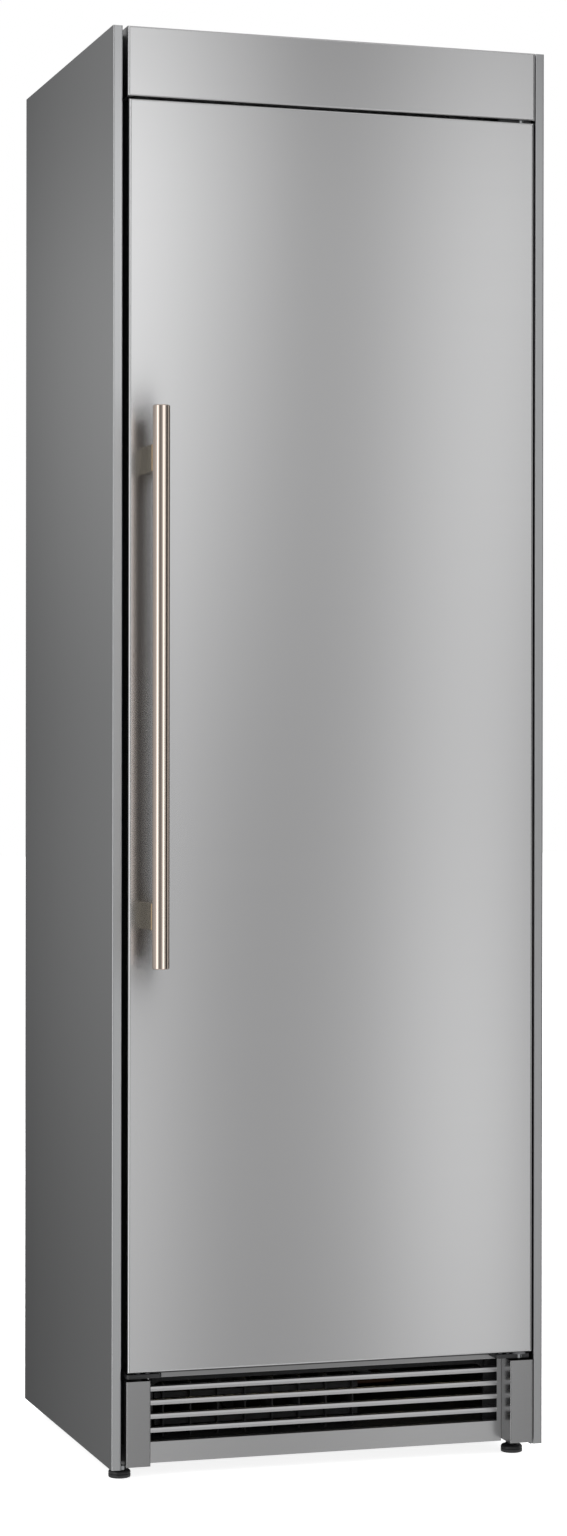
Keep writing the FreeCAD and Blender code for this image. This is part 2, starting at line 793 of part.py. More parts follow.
def bush_shank(bottom, top, clearance):
    """Square block on the pivot: a bush's shank, or its seat when widened by a clearance."""
    half = pin_radius + pin_fit + bush_wall + clearance
    return box(pivot_x - half, pivot_x + half, pivot_y - half, pivot_y + half, bottom, top)


def bush_bore(bottom, top):
    """Round bar on the pivot, as wide as a bush's bore."""
    return rod(Vector(pivot_x, pivot_y, bottom), Z_AXIS, pin_radius + pin_fit, top - bottom)


def hinge_bushes():
    """Square-shanked bushes in the door's caps; the lower one's collar bears the door."""
    collar_bottom = bottom_leaf_top + seat_gap
    shank_top = door_floor_height + bush_length
    collar = rod(Vector(pivot_x, pivot_y, collar_bottom), Z_AXIS,
                 pin_radius + 2 * bush_wall, door_floor_height - collar_bottom)
    bottom = bush_shank(door_floor_height, shank_top, 0.0).fuse(collar)
    top = bush_shank(door_top - bush_length, door_top, 0.0)
    return Part.makeCompound([bottom.cut(bush_bore(collar_bottom, shank_top)),
                              top.cut(bush_bore(door_top - bush_length, door_top))])


# ---- door ----
def door_skin():
    """Outer skin: front, deep side returns and short top and bottom lips."""
    skin = folded_pan(-door_half, door_half, door_front, skin_back,
                      door_floor_height, door_top, door_sheet, door_bend)
    inner = door_half - door_sheet
    for low in (door_floor_height, door_top - door_sheet):
        skin = skin.cut(box(-inner, inner, door_front + door_lip, skin_back, low, low + door_sheet))
    return skin.cut(bush_shank(door_floor_height, door_top, press_fit))


def door_liner_block(inset, front):
    """Shape of the door's inner side: back plate and raised middle."""
    plate = box(-door_half + inset, door_half - inset, front, door_back - inset,
                door_floor_height + inset, door_top - inset)
    plug = prism(rounded_rectangle(-plug_half + inset, plug_half - inset, plug_bottom + inset,
                                   plug_top - inset, plug_corner), "xz",
                 door_back - inset, plug_face - inset)
    return plate.fuse(plug)


def bin_lugs(side):
    """Blocks on a ridge's inner face that the bins sit on."""
    lugs = []
    near = side * dyke_inner
    tip = side * (dyke_inner - lug_reach)
    for floor in bin_floor_heights:
        lugs.append(box(min(near, tip), max(near, tip), plug_face, plug_face + lug_depth,
                        floor - lug_height, floor))
    return lugs


def door_liner():
    """Moulded inner side of the door with two hollow upright ridges that carry the bins."""
    low = bin_floor_heights[0] - lug_height - plug_corner
    high = plug_top - plug_corner
    liner = door_liner_block(0.0, skin_back)
    core = door_liner_block(door_liner_wall, skin_back - door_liner_wall)
    wall = door_liner_wall
    for side in (-1, 1):
        left, right = sorted((side * dyke_inner, side * dyke_outer))
        ridge = prism([(left, door_back), (right, door_back), (right, dyke_face, dyke_width / 4),
                       (left, dyke_face, dyke_width / 4)], "xy", low, high)
        hollow = box(left + wall, right - wall, door_back - wall, dyke_face - wall,
                     low + wall, high - wall)
        liner = liner.fuse(ridge)
        core = core.fuse(hollow)
        liner = liner.multiFuse(bin_lugs(side))
    return liner.cut(core)


def door_cap(low):
    """Plastic end cap between the skin and the liner; low is its lower face."""
    inner = door_half - door_sheet
    block = box(-inner, inner, door_front + door_bend, skin_back, low, low + cap_height - door_sheet)
    return block.cut(bush_shank(low, low + cap_height, press_fit))


def door_insulation():
    """Foam that fills the door between skin, caps and liner."""
    foam = box(-door_half + door_sheet, door_half - door_sheet, door_front + door_sheet, skin_back,
               door_floor_height + door_sheet, door_top - door_sheet)
    foam = foam.makeChamfer(door_bend - door_sheet, edges_on(foam, 1, door_front + door_sheet))
    core = door_liner_block(door_liner_wall, skin_back)
    low = door_floor_height
    cap_front = door_front + door_bend
    for bottom in (low, door_top - cap_height):
        foam = foam.cut(box(-door_half, door_half, cap_front, skin_back, bottom, bottom + cap_height))
    return foam.fuse(core)


def door_gasket():
    """Magnetic seal with welded mitred corners: foot, narrow bellows and magnet head."""
    def layer(inset, width, y0, y1):
        def block(edge):
            return box(-door_half + edge, door_half - edge, y0, y1,
                       door_floor_height + edge, door_top - edge)
        return block(inset).cut(block(inset + width))
    head_front = face_front - seat_gap - seal_layer
    foot = layer(seal_inset, seal_width, door_back, door_back + seal_layer)
    neck = layer(seal_inset + (seal_width - seal_neck) / 2, seal_neck,
                 door_back + seal_layer, head_front)
    head = layer(seal_inset, seal_width, head_front, head_front + seal_layer)
    return foot.multiFuse([neck, head])


def handle_bar():
    """Round bar with small chamfers at its flat ends."""
    bar = rod(Vector(handle_x, handle_y, handle_bottom), Z_AXIS, handle_radius, handle_length)
    ends = edges_on(bar, 2, handle_bottom) + edges_on(bar, 2, handle_top)
    return bar.makeChamfer(handle_chamfer, ends)


def handle_standoff(middle):
    """Square block from the door to the bar, hollowed to seat the bar."""
    front = handle_y + handle_radius - standoff_overlap
    block = box(handle_x - standoff_width / 2, handle_x + standoff_width / 2, front, door_front,
                middle - standoff_height / 2, middle + standoff_height / 2)
    block = block.makeChamfer(standoff_chamfer, edges_along(block, 1))
    seat = rod(Vector(handle_x, handle_y, middle - standoff_height), Z_AXIS,
               handle_radius + press_fit, 2 * standoff_height)
    return block.cut(seat)


def door_bin(floor):
    """Open-topped bin between the door's ridges, lower at the front."""
    half = dyke_inner - bin_side_gap
    back = plug_face + seat_gap
    front = back + bin_depth
    rim = floor + bin_height

    def block(inset):
        points = [(back + inset, floor + inset), (front - inset, floor + inset, bin_corner - inset),
                  (front - inset, rim), (back + inset, rim)]
        return prism(points, "yz", -half + inset, half - inset)
    body = block(0.0).cut(block(bin_wall))
    low_rim = rim - bin_front_drop
    sweep = [(back + bin_depth / 2, rim), (back + bin_depth * bin_sweep_share, low_rim, bin_corner),
             (front, low_rim), (front, rim)]
    return body.cut(prism(sweep, "yz", -half, half))


# ---- inside the freezer ----
def shelf(height):
    """Glass shelf with a turned-down front edge, resting on the liner's ledges."""
    half = room_half - shelf_side_gap
    back = cover_front - shelf_side_gap
    top = height + shelf_thickness
    points = [(back, height), (back, top), (shelf_front, top, shelf_thickness / 2),
              (shelf_front, top - shelf_lip), (shelf_front + shelf_thickness, top - shelf_lip),
              (shelf_front + shelf_thickness, height)]
    plate = prism(points, "yz", -half, half)
    for side in (-1, 1):
        inner, outer = sorted((side * (room_half - ledge_reach - seat_gap), side * room_half))
        plate = plate.cut(box(inner, outer, shelf_front, back, height - shelf_lip, height))
    return plate


def drawer_back(level):
    """Inside limit behind a drawer: the hump for the lowest, the air wall for the rest."""
    limit = hump_front - liner_wall if drawer_bottom_heights[level] < hump_top else cover_front
    return limit - drawer_back_gap


def drawer(level):
    """Pull-out tub with a flange round its rim and a curled pull on its front."""
    floor = drawer_bottom_heights[level]
    rim = floor + drawer_height
    body_half = drawer_half_width - drawer_flange
    front = drawer_front
    back = drawer_back(level)
    wall = drawer_wall
    body = rounded_block(-body_half, body_half, front, back - drawer_flange, floor, rim,
                         drawer_corner)
    hollow = rounded_block(-body_half + wall, body_half - wall, front + wall,
                           back - drawer_flange - wall, floor + wall, rim, drawer_corner - wall)
    flange = box(-drawer_half_width, drawer_half_width, front, back, rim - wall, rim)
    face = box(-drawer_half_width, drawer_half_width, front - wall, front, floor, rim)
    pull_top = rim - pull_drop + pull_rise
    pull = bent_sheet([(front - wall / 2, rim - pull_drop), (front - pull_reach, pull_top),
                       (front - pull_reach, pull_top - pull_curl)], wall, None, "yz",
                      -pull_half_width, pull_half_width)
    return body.multiFuse([flange, face, pull]).cut(hollow)


def runner_panel():
    """Left-hand moulded panel with one ledge for each drawer's flange, stepped over the hump."""
    outer = -room_half
    inner = -runner_inner
    top = drawer_bottom_heights[-1] + drawer_height + 2 * runner_ledge
    front = drawer_front
    back = cover_front - drawer_back_gap
    section = [(outer, room_floor, liner_corner), (inner, room_floor), (inner, top), (outer, top)]
    hump = box(outer, inner, hump_front - liner_wall, back, room_floor, hump_top + liner_wall)
    panel = prism(section, "xz", front, back).cut(hump)
    tip = -(drawer_half_width - drawer_flange) - 3 * seat_gap
    for level, floor in enumerate(drawer_bottom_heights):
        seat = floor + drawer_height - drawer_wall - seat_gap
        ledge = prism([(inner, seat), (tip, seat), (tip, seat - runner_ledge),
                       (inner, seat - 2 * runner_ledge)], "xz", front + drawer_wall,
                      drawer_back(level))
        panel = panel.fuse(ledge)
    return panel


def evaporator_cover():
    """Rear air wall with rows of air slots and the fan's slotted outlet."""
    low = hump_top + liner_wall
    sheet_back = cover_front + cover_sheet

    def block(inset, front):
        section = [(-room_half + inset, low + inset), (room_half - inset, low + inset),
                   (room_half - inset, room_top - inset, liner_corner - inset),
                   (-room_half + inset, room_top - inset, liner_corner - inset)]
        return prism(section, "xz", front, cover_front + cover_depth)

    def slot(middle, height, half):
        return box(middle - half, middle + half, cover_front, sheet_back,
                   height - slot_height / 2, height + slot_height / 2)
    slots = []
    for shelf_height in shelf_heights[1:]:
        for row in range(outlet_rows):
            height = shelf_height + outlet_above_shelf + row * slot_pitch
            for x in (-outlet_pitch, outlet_pitch):
                slots.append(slot(x, height, slot_width / 2))
    for row in range(inlet_rows):
        slots.append(slot(0.0, low + (row + 1) * slot_pitch, inlet_half))
    rows = int(fan_radius // slot_pitch)
    for row in range(-rows, rows + 1):
        rise = row * slot_pitch
        slots.append(slot(0.0, fan_height + rise, math.sqrt(fan_radius ** 2 - rise ** 2)))
    return block(0.0, cover_front).cut(block(cover_sheet, sheet_back)).cut(Part.makeCompound(slots))


def evaporator():
    """Finned cooling coil behind the air wall."""
    half = room_half - coil_side_gap
    front = cover_front + 2 * cover_sheet + fan_width
    return finned_coil(-half, half, front, room_back - seat_gap, coil_floor,
                       coil_floor + coil_height, coil_fins, coil_rows)


def evaporator_fan_motor():
    """Motor on a cross bracket against the liner's back, with its shaft forward."""
    front = room_back - motor_length - cover_sheet
    plate = box(-2 * motor_half, 2 * motor_half, room_back - cover_sheet, room_back,
                fan_height - motor_half, fan_height + motor_half)
    motor = box(-motor_half, motor_half, front, room_back - cover_sheet,
                fan_height - motor_half, fan_height + motor_half)
    shaft_start = fan_y - fan_width / 2
    shaft = rod(Vector(0, shaft_start, fan_height), Y_AXIS, shaft_radius, front - shaft_start)
    return motor.multiFuse([plate, shaft])


def evaporator_fan():
    """Fan that blows cold air out over the shelves."""
    return fan_wheel(0.0, fan_y, fan_height, fan_hub_radius, fan_radius, fan_width, fan_blades)


# ---- controls and lamp ----
def key_middle(index):
    """Middle of one key across the housing."""
    return key_pitch * (index - key_columns + 1)


def key_height_middle():
    """Height of the keys' row."""
    return room_top - housing_height / 2


def control_housing():
    """Control head under the ceiling, with key pockets and a display recess."""
    low = room_top - housing_height
    back = housing_front + housing_depth
    points = [(housing_front, room_top), (housing_front, low, housing_edge),
              (back, low + housing_slope, housing_edge), (back, room_top)]
    housing = prism(points, "yz", -housing_half_width, housing_half_width)
    middle = key_height_middle()
    depth = key_body + key_travel + key_gap
    for index in range(key_columns):
        x = key_middle(index)
        pocket = box(x - key_width / 2 - key_gap, x + key_width / 2 + key_gap, housing_front,
                     housing_front + depth, middle - key_height / 2 - key_gap,
                     middle + key_height / 2 + key_gap)
        housing = housing.cut(pocket)
    recess = box(key_pitch / 2, housing_half_width - key_pitch / 2, housing_front,
                 housing_front + display_recess, middle - key_height, middle + key_height)
    return housing.cut(recess)


def control_key(index):
    """Push key."""
    x = key_middle(index)
    middle = key_height_middle()
    return box(x - key_width / 2, x + key_width / 2, housing_front - key_proud,
               housing_front + key_body, middle - key_height / 2, middle + key_height / 2)


def lamp_lens():
    """Diffuser of the ceiling lamp."""
    lens = box(-lens_half_width, lens_half_width, lens_front, lens_front + lens_depth,
               room_top - lens_height, room_top)
    return lens.makeFillet(lens_height / 2, edges_on(lens, 2, room_top - lens_height))


# ---- machine compartment ----
def compressor():
    """Sealed compressor: two pressed halves with a weld rim, foot plate and terminal cover."""
    low = base_top + mount_height + foot_plate
    top = low + compressor_height
    rim_low = low + compressor_height * shell_seam_share
    rim_high = rim_low + shell_seam_height
    radius = compressor_radius
    foot = radius * shell_foot_share
    profile = [(foot, low), (radius, low + shell_foot_rise), (radius, rim_low),
               (radius + shell_seam, (rim_low + rim_high) / 2), (radius, rim_high),
               (radius, top - shell_dome), (radius * shell_dome_share, top)]
    shell = sided(profile, round_sides).translated(Vector(compressor_x, compressor_y, 0))
    half_x = mount_pitch_x / 2 + mount_half
    half_y = mount_pitch_y / 2 + mount_half
    plate = box(compressor_x - half_x, compressor_x + half_x, compressor_y - half_y,
                compressor_y + half_y, low - foot_plate, low)
    terminal = box(compressor_x - radius - terminal_reach, compressor_x,
                   compressor_y - terminal_half_width, compressor_y + terminal_half_width,
                   low + terminal_low, low + terminal_high)
    return shell.multiFuse([plate, terminal])


def compressor_mounts():
    """Rubber blocks between the foot plate and the tray."""
    mounts = []
    for x in (compressor_x - mount_pitch_x / 2, compressor_x + mount_pitch_x / 2):
        for y in (compressor_y - mount_pitch_y / 2, compressor_y + mount_pitch_y / 2):
            mounts.append(box(x - mount_half, x + mount_half, y - mount_half, y + mount_half,
                              base_top, base_top + mount_height))
    return Part.makeCompound(mounts)


def condenser():
    """Finned warm coil behind the louvre."""
    return finned_coil(condenser_x - condenser_half_width, condenser_x + condenser_half_width,
                       condenser_front, condenser_front + condenser_depth, base_top,
                       base_top + condenser_height, condenser_fins, condenser_rows)


def condenser_fan_height():
    """Height of the condenser fan's axis: its opening just clears the base tray."""
    return base_top + condenser_fan_radius + 2 * shroud_clearance


def condenser_fan_motor():
    """Shroud plate with the fan's opening, and the motor on three arms behind it."""
    height = condenser_fan_height()
    plate_y = condenser_front + condenser_depth + shroud_gap
    plate = box(condenser_x - shroud_half_width, condenser_x + shroud_half_width,
                plate_y, plate_y + shroud_sheet, base_top, deck_height)
    opening = sided_bar(Vector(condenser_x, plate_y, height), Y_AXIS,
                        condenser_fan_radius + shroud_clearance, shroud_sheet, round_sides)
    motor_front = plate_y + condenser_fan_width + 2 * motor_gap
    motor = box(condenser_x - condenser_motor_half, condenser_x + condenser_motor_half,
                motor_front, motor_front + motor_length,
                height - condenser_motor_half, height + condenser_motor_half)
    arm_low = height - motor_arm_height / 2
    arm_high = height + motor_arm_height / 2
    arm_back = motor_front + 2 * shroud_sheet
    back_plate = box(condenser_x - shroud_half_width, condenser_x + shroud_half_width,
                     motor_front + shroud_sheet, arm_back, arm_low, arm_high)
    arms = []
    for side in (-1, 1):
        x0, x1 = sorted((condenser_x + side * shroud_half_width,
                         condenser_x + side * (shroud_half_width - shroud_sheet)))
        arms.append(box(x0, x1, plate_y, arm_back, arm_low, arm_high))
    shaft_start = plate_y
    shaft = rod(Vector(condenser_x, shaft_start, height), Y_AXIS, shaft_radius,
                motor_front - shaft_start)
    return plate.cut(opening).multiFuse(arms + [back_plate, motor, shaft])


def condenser_fan():
    """Fan that draws room air through the louvre and the condenser."""
    plate_y = condenser_front + condenser_depth + shroud_gap
    middle = plate_y + motor_gap + condenser_fan_width / 2
    return fan_wheel(condenser_x, middle, condenser_fan_height(), condenser_hub_radius,
                     condenser_fan_radius, condenser_fan_width, fan_blades)


def drip_pan():
    """Tray under the drain spout, beside the compressor."""
    rim = base_top + pan_height
    outer = rounded_block(pan_left, pan_right, pan_front, pan_back, base_top, rim, pan_corner)
    inner = rounded_block(pan_left + pan_wall, pan_right - pan_wall, pan_front + pan_wall,
                          pan_back - pan_wall, base_top + pan_wall, rim, pan_corner - pan_wall)
    return outer.cut(inner)


def refrigerant_lines():
    """Discharge pipe to the condenser and suction pipe up towards the cooling coil."""
    start = compressor_radius + seat_gap
    leave_height = base_top + mount_height + foot_plate + discharge_height
    coil_row = base_top + condenser_height * (condenser_rows - 0.5) / condenser_rows
    coil_middle = condenser_front + condenser_depth / 2
    coil_end = condenser_x + condenser_half_width + coil_tube_reach + seat_gap
    drop_y = compressor_y - start - 2 * pipe_bend
    discharge = [Vector(compressor_x, compressor_y - start, leave_height),
                 Vector(compressor_x, drop_y, leave_height), Vector(compressor_x, drop_y, coil_row),
                 Vector(compressor_x, coil_middle, coil_row), Vector(coil_end, coil_middle, coil_row)]
    rise_x = compressor_x + start + 2 * pipe_bend
    suction = [Vector(compressor_x + start, compressor_y, leave_height),
               Vector(rise_x, compressor_y, leave_height), Vector(rise_x, compressor_y, hump_deck)]
    return Part.makeCompound([pipe(discharge, pipe_radius), pipe(suction, pipe_radius)])


def rear_service_cover():
    """Sheet over the machine compartment's back, with air slots and the inlet's cut-out."""
    face = cabinet_depth - shell_sheet
    half = shell_inner - shell_bend
    cover = box(-half, half, face - shell_sheet, face, base_bottom, hump_deck)
    slots = []
    for row in range(service_slots):
        height = base_top + service_slot_rise + row * 2 * slot_pitch
        for offset in service_slot_offsets:
            left = compressor_x + offset
            slots.append(box(left, left + service_slot_width, face - shell_sheet, face,
                             height, height + slot_height))
    cut = box(inlet_x - inlet_half_width, inlet_x + inlet_half_width, face - shell_sheet, face,
              inlet_height - inlet_half_height, inlet_height + inlet_half_height)
    return cover.cut(Part.makeCompound(slots)).cut(cut)


def power_inlet():
    """Mains inlet in the service cover: flange, body and its open socket with three blades."""
    face = cabinet_depth - shell_sheet

    def block(half_wide, half_high, y0, y1):
        return box(inlet_x - half_wide, inlet_x + half_wide, y0, y1,
                   inlet_height - half_high, inlet_height + half_high)
    flange = block(inlet_half_width + inlet_flange_side, inlet_half_height + inlet_flange_end,
                   face, cabinet_depth)
    body = block(inlet_half_width - press_fit, inlet_half_height - press_fit,
                 face - inlet_body_depth, face)
    socket = block(socket_half_width, socket_half_height, face - socket_depth, cabinet_depth)
    blades = []
    for x, z in blade_places:
        blade = box(inlet_x + x - blade_half_width, inlet_x + x + blade_half_width,
                    face - socket_depth - press_fit, face - blade_inset,
                    inlet_height + z - blade_half_height, inlet_height + z + blade_half_height)
        blades.append(blade)
    return flange.fuse(body).cut(socket).multiFuse(blades)


def electronics_box():
    """Control electronics on top of the foam, behind the fascia."""
    y0 = face_back + electronics_setback
    top = foam_top + electronics_height
    case = box(-electronics_half_width, electronics_half_width, y0, y0 + electronics_depth,
               foam_top, top - lid_height)
    lid = box(-electronics_half_width - lid_rim, electronics_half_width + lid_rim, y0 - lid_rim,
              y0 + electronics_depth + lid_rim, top - lid_height, top)
    return case.fuse(lid)


# ---- build and write every piece ----
left_side = side_panel()
right_pillar = pillar_cover()
right_bracket = bottom_bracket()
left_runner = runner_panel()
standoff_low = handle_bottom + standoff_inset
standoff_high = handle_top - standoff_inset

pieces = {
    "left_side_panel": left_side,
    "right_side_panel": mirrored(left_side),
    "back_panel": back_panel(),
    "top_cover": top_cover(),
    "base_frame": base_frame(),
    "face_frame": face_frame(),
    "cabinet_insulation": cabinet_insulation(),
    "cabinet_liner": cabinet_liner(),
    "top_fascia": top_fascia(),
    "left_pillar_cover": mirrored(right_pillar),
    "right_pillar_cover": right_pillar,
    "toe_grille": toe_grille(),
    "top_hinge_bracket": top_bracket(),
    "bottom_hinge_bracket": right_bracket.cut(pin_hole(bottom_leaf_top - bottom_leaf, bottom_leaf_top)),
    "left_corner_bracket": mirrored(right_bracket),
    "hinge_pins": hinge_pins(),
    "hinge_bushes": hinge_bushes(),
    "evaporator_cover": evaporator_cover(),
    "evaporator": evaporator(),
    "evaporator_fan_motor": evaporator_fan_motor(),
    "evaporator_fan": evaporator_fan(),
    "left_runner_panel": left_runner,
    "right_runner_panel": mirrored(left_runner),
    "control_housing": control_housing(),
    "key_warmer": control_key(0),
    "key_colder": control_key(1),
    "key_light": control_key(2),
    "lamp_lens": lamp_lens(),
    "compressor": compressor(),
    "compressor_mounts": compressor_mounts(),
    "condenser": condenser(),
    "condenser_fan_motor": condenser_fan_motor(),
    "condenser_fan": condenser_fan(),
    "drip_pan": drip_pan(),
    "refrigerant_lines": refrigerant_lines(),
    "rear_service_cover": rear_service_cover(),
    "power_inlet": power_inlet(),
    "electronics_box": electronics_box(),
    "front_left_foot": levelling_foot(-foot_x),
    "front_right_foot": levelling_foot(foot_x),
    "rear_left_roller": roller(-roller_x),
    "rear_right_roller": roller(roller_x),
    "door_skin": door_skin(),
    "door_liner": door_liner(),
    "door_insulation": door_insulation(),
    "door_bottom_cap": door_cap(door_floor_height + door_sheet),
    "door_top_cap": door_cap(door_top - cap_height),
    "door_gasket": door_gasket(),
    "handle_bar": handle_bar(),
    "upper_standoff": handle_standoff(standoff_high),
    "lower_standoff": handle_standoff(standoff_low),
}
for number, height in enumerate(shelf_heights, start=1):
    pieces[f"shelf_{number}"] = shelf(height)
for number, floor_height in enumerate(bin_floor_heights, start=1):
    pieces[f"door_bin_{number}"] = door_bin(floor_height)
for level in range(len(drawer_bottom_heights)):
    pieces[f"drawer_{level + 1}"] = drawer(level)

for name, shape in pieces.items():
    assert shape.isValid(), name
    shape.translate(Vector(0, -middle_y, 0))
    shape.exportStep(f"parts/{name}.step")
    print(name, len(shape.Solids), round(shape.Volume))
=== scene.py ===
import math

import bmesh
import bpy
from mathutils import Matrix, Vector


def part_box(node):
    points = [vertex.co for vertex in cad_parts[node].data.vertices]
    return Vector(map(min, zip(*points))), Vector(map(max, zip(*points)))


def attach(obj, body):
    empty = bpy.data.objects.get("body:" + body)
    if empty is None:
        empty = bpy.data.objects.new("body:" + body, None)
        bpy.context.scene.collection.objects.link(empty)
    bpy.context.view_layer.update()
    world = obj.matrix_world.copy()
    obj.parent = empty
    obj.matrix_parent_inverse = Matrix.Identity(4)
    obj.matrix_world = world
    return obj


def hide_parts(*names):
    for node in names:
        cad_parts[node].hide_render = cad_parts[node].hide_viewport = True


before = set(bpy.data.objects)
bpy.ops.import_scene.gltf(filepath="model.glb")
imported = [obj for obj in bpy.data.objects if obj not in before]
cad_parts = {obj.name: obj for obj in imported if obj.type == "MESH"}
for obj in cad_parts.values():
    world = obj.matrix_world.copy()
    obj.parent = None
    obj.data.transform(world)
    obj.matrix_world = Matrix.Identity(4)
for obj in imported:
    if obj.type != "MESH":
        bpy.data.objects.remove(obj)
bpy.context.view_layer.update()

# All lengths are metres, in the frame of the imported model: +Z up, +X right, the door towards -Y.

# ---------------------------------------------------------------- the camera's view
CAMERA_PLACE = Vector((-1.522, -4.9118, 1.063))
CAMERA_YAW = 17.21                # degrees, to the right of the cabinet's own axis
CAMERA_PITCH = -0.16
CAMERA_ROLL = 0.08
FOCAL_PIXELS = 3294.0
PHOTO_HEIGHT = 1536.0
SENSOR_MM = 36.0

# ---------------------------------------------------------------- colours, linear
STEEL = (0.66, 0.66, 0.665)
SIDE_STEEL = (0.40, 0.405, 0.41)
HANDLE_BRONZE = (0.72, 0.615, 0.54)
GALVANISED = (0.50, 0.52, 0.53)
BLACK = (0.012, 0.012, 0.013)
# the stand-offs' satin bronze, darkened further as painted shade
STANDOFF_BRONZE_SHADED = (0.38, 0.325, 0.235)
WHITE_LINER = (0.66, 0.68, 0.68)


# ---------------------------------------------------------------- node helpers
class Nodes:
    """A material's node tree with short calls for the nodes used here."""

    def __init__(self, name):
        self.material = bpy.data.materials.new(name)
        self.material.use_nodes = True
        self.tree = self.material.node_tree
        self.shader = self.tree.nodes["Principled BSDF"]
        self.place = self.tree.nodes.new("ShaderNodeTexCoord").outputs["Object"]

    def link(self, source, target):
        self.tree.links.new(source, target)

    def set(self, **values):
        """Constants on the shader's own sockets."""
        for key, value in values.items():
            self.shader.inputs[key.replace("_", " ")].default_value = value

    def noise(self, scale, stretch=(1.0, 1.0, 1.0), detail=4.0, roughness=0.55):
        """Noise in the object's own coordinates; stretch multiplies each axis."""
        mapping = self.tree.nodes.new("ShaderNodeMapping")
        mapping.inputs["Scale"].default_value = stretch
        texture = self.tree.nodes.new("ShaderNodeTexNoise")
        texture.inputs["Scale"].default_value = scale
        texture.inputs["Detail"].default_value = detail
        texture.inputs["Roughness"].default_value = roughness
        self.link(self.place, mapping.inputs["Vector"])
        self.link(mapping.outputs["Vector"], texture.inputs["Vector"])
        return texture.outputs["Fac"]

    def map_range(self, value, start, end, low=0.0, high=1.0):
        """A value from start..end mapped to low..high and held outside."""
        node = self.tree.nodes.new("ShaderNodeMapRange")
        node.inputs["From Min"].default_value = start
        node.inputs["From Max"].default_value = end
        node.inputs["To Min"].default_value = low
        node.inputs["To Max"].default_value = high
        self.link(value, node.inputs["Value"])
        return node.outputs["Result"]

    def between(self, noise, low, high):
        """Noise mapped to low..high; most of it lies from 0.3 to 0.7."""
        return self.map_range(noise, 0.3, 0.7, low, high)

    def blend(self, factor, first, second, kind="MIX"):
        """Two colours mixed by a factor, which is a socket or a number."""
        node = self.tree.nodes.new("ShaderNodeMix")
        node.data_type = "RGBA"
        node.blend_type = kind
        for socket, value in ((node.inputs[6], first), (node.inputs[7], second)):
            if isinstance(value, tuple):
                socket.default_value = (*value, 1.0)
            else:
                self.link(value, socket)
        if isinstance(factor, float):
            node.inputs["Factor"].default_value = factor
        else:
            self.link(factor, node.inputs["Factor"])
        return node.outputs[2]

    def ramp(self, position, stops):
        """Grey that follows (share, value) stops."""
        node = self.tree.nodes.new("ShaderNodeValToRGB")
        node.color_ramp.interpolation = "EASE"
        elements = node.color_ramp.elements
        while len(elements) < len(stops):
            elements.new(0.5)
        for element, (share, value) in zip(elements, stops):
            element.position = share
            element.color = (value, value, value, 1.0)
        self.link(position, node.inputs["Fac"])
        return node.outputs["Color"]

    def axis(self, vector, name):
        """One axis of a vector output."""
        node = self.tree.nodes.new("ShaderNodeSeparateXYZ")
        self.link(vector, node.inputs["Vector"])
        return node.outputs[name]

    def facing(self):
        """Y of a face's own direction: -1 looks to the front, 1 to the back."""
        return self.axis(self.tree.nodes.new("ShaderNodeTexCoord").outputs["Normal"], "Y")

    def edge_wear(self):
        """1 along convex edges, 0 on flat faces, where Pointiness is 0.5."""
        geometry = self.tree.nodes.new("ShaderNodeNewGeometry")
        return self.map_range(geometry.outputs["Pointiness"], 0.53, 0.59)

    def bump(self, height, strength, depth):
        """Bump with a depth in metres."""
        node = self.tree.nodes.new("ShaderNodeBump")
        node.inputs["Strength"].default_value = strength
        node.inputs["Distance"].default_value = depth
        self.link(height, node.inputs["Height"])
        self.link(node.outputs["Normal"], self.shader.inputs["Normal"])

    def colour(self, output):
        self.link(output, self.shader.inputs["Base Color"])

    def rough(self, output):
        self.link(output, self.shader.inputs["Roughness"])


def scaled(colour, factor):
    """A colour made lighter or darker."""
    return tuple(min(1.0, channel * factor) for channel in colour)


# ---------------------------------------------------------------- materials
def brushed_metal(name, colour, roughness, grain, cloud=0.02, shade=None, spread=0.0):
    """Metal with fine lines along one axis: grain holds the stretch of each axis.

    shade is a function of the nodes and the tone that returns the tone with painted light or shade.
    With a spread, reflections on upright faces blur up and down more than from side to side.
    """
    nodes = Nodes(name)
    nodes.set(Metallic=1.0)
    lines = nodes.noise(9.0, grain, detail=2.0, roughness=0.5)
    clouds = nodes.noise(2.3, (1.0, 1.0, 0.6), detail=3.0)
    cloudy = nodes.blend(clouds, scaled(colour, 1.0 - cloud), scaled(colour, 1.0 + cloud))
    lined = nodes.blend(lines, scaled(colour, 0.98), scaled(colour, 1.02))
    tone = nodes.blend(0.5, cloudy, lined)
    nodes.colour(shade(nodes, tone) if shade else tone)
    nodes.rough(nodes.between(lines, roughness - 0.01, roughness + 0.01))
    nodes.bump(lines, 0.02, 0.00002)
    if spread > 0:
        level = nodes.tree.nodes.new("ShaderNodeTangent")
        level.direction_type = "RADIAL"
        level.axis = "Z"
        nodes.link(level.outputs["Tangent"], nodes.shader.inputs["Tangent"])
        nodes.set(Anisotropic=spread, Anisotropic_Rotation=0.25)
    return nodes.material


def painted_metal(name, colour, roughness):
    """Paint with orange peel, faint cloudiness and lighter edges."""
    nodes = Nodes(name)
    tone = nodes.blend(nodes.noise(5.0, detail=3.0), scaled(colour, 0.92), scaled(colour, 1.08))
    nodes.colour(nodes.blend(nodes.edge_wear(), tone, scaled(colour, 1.6)))
    nodes.rough(nodes.between(nodes.noise(40.0), roughness - 0.04, roughness + 0.05))
    nodes.bump(nodes.noise(900.0, detail=2.0), 0.08, 0.0002)
    return nodes.material


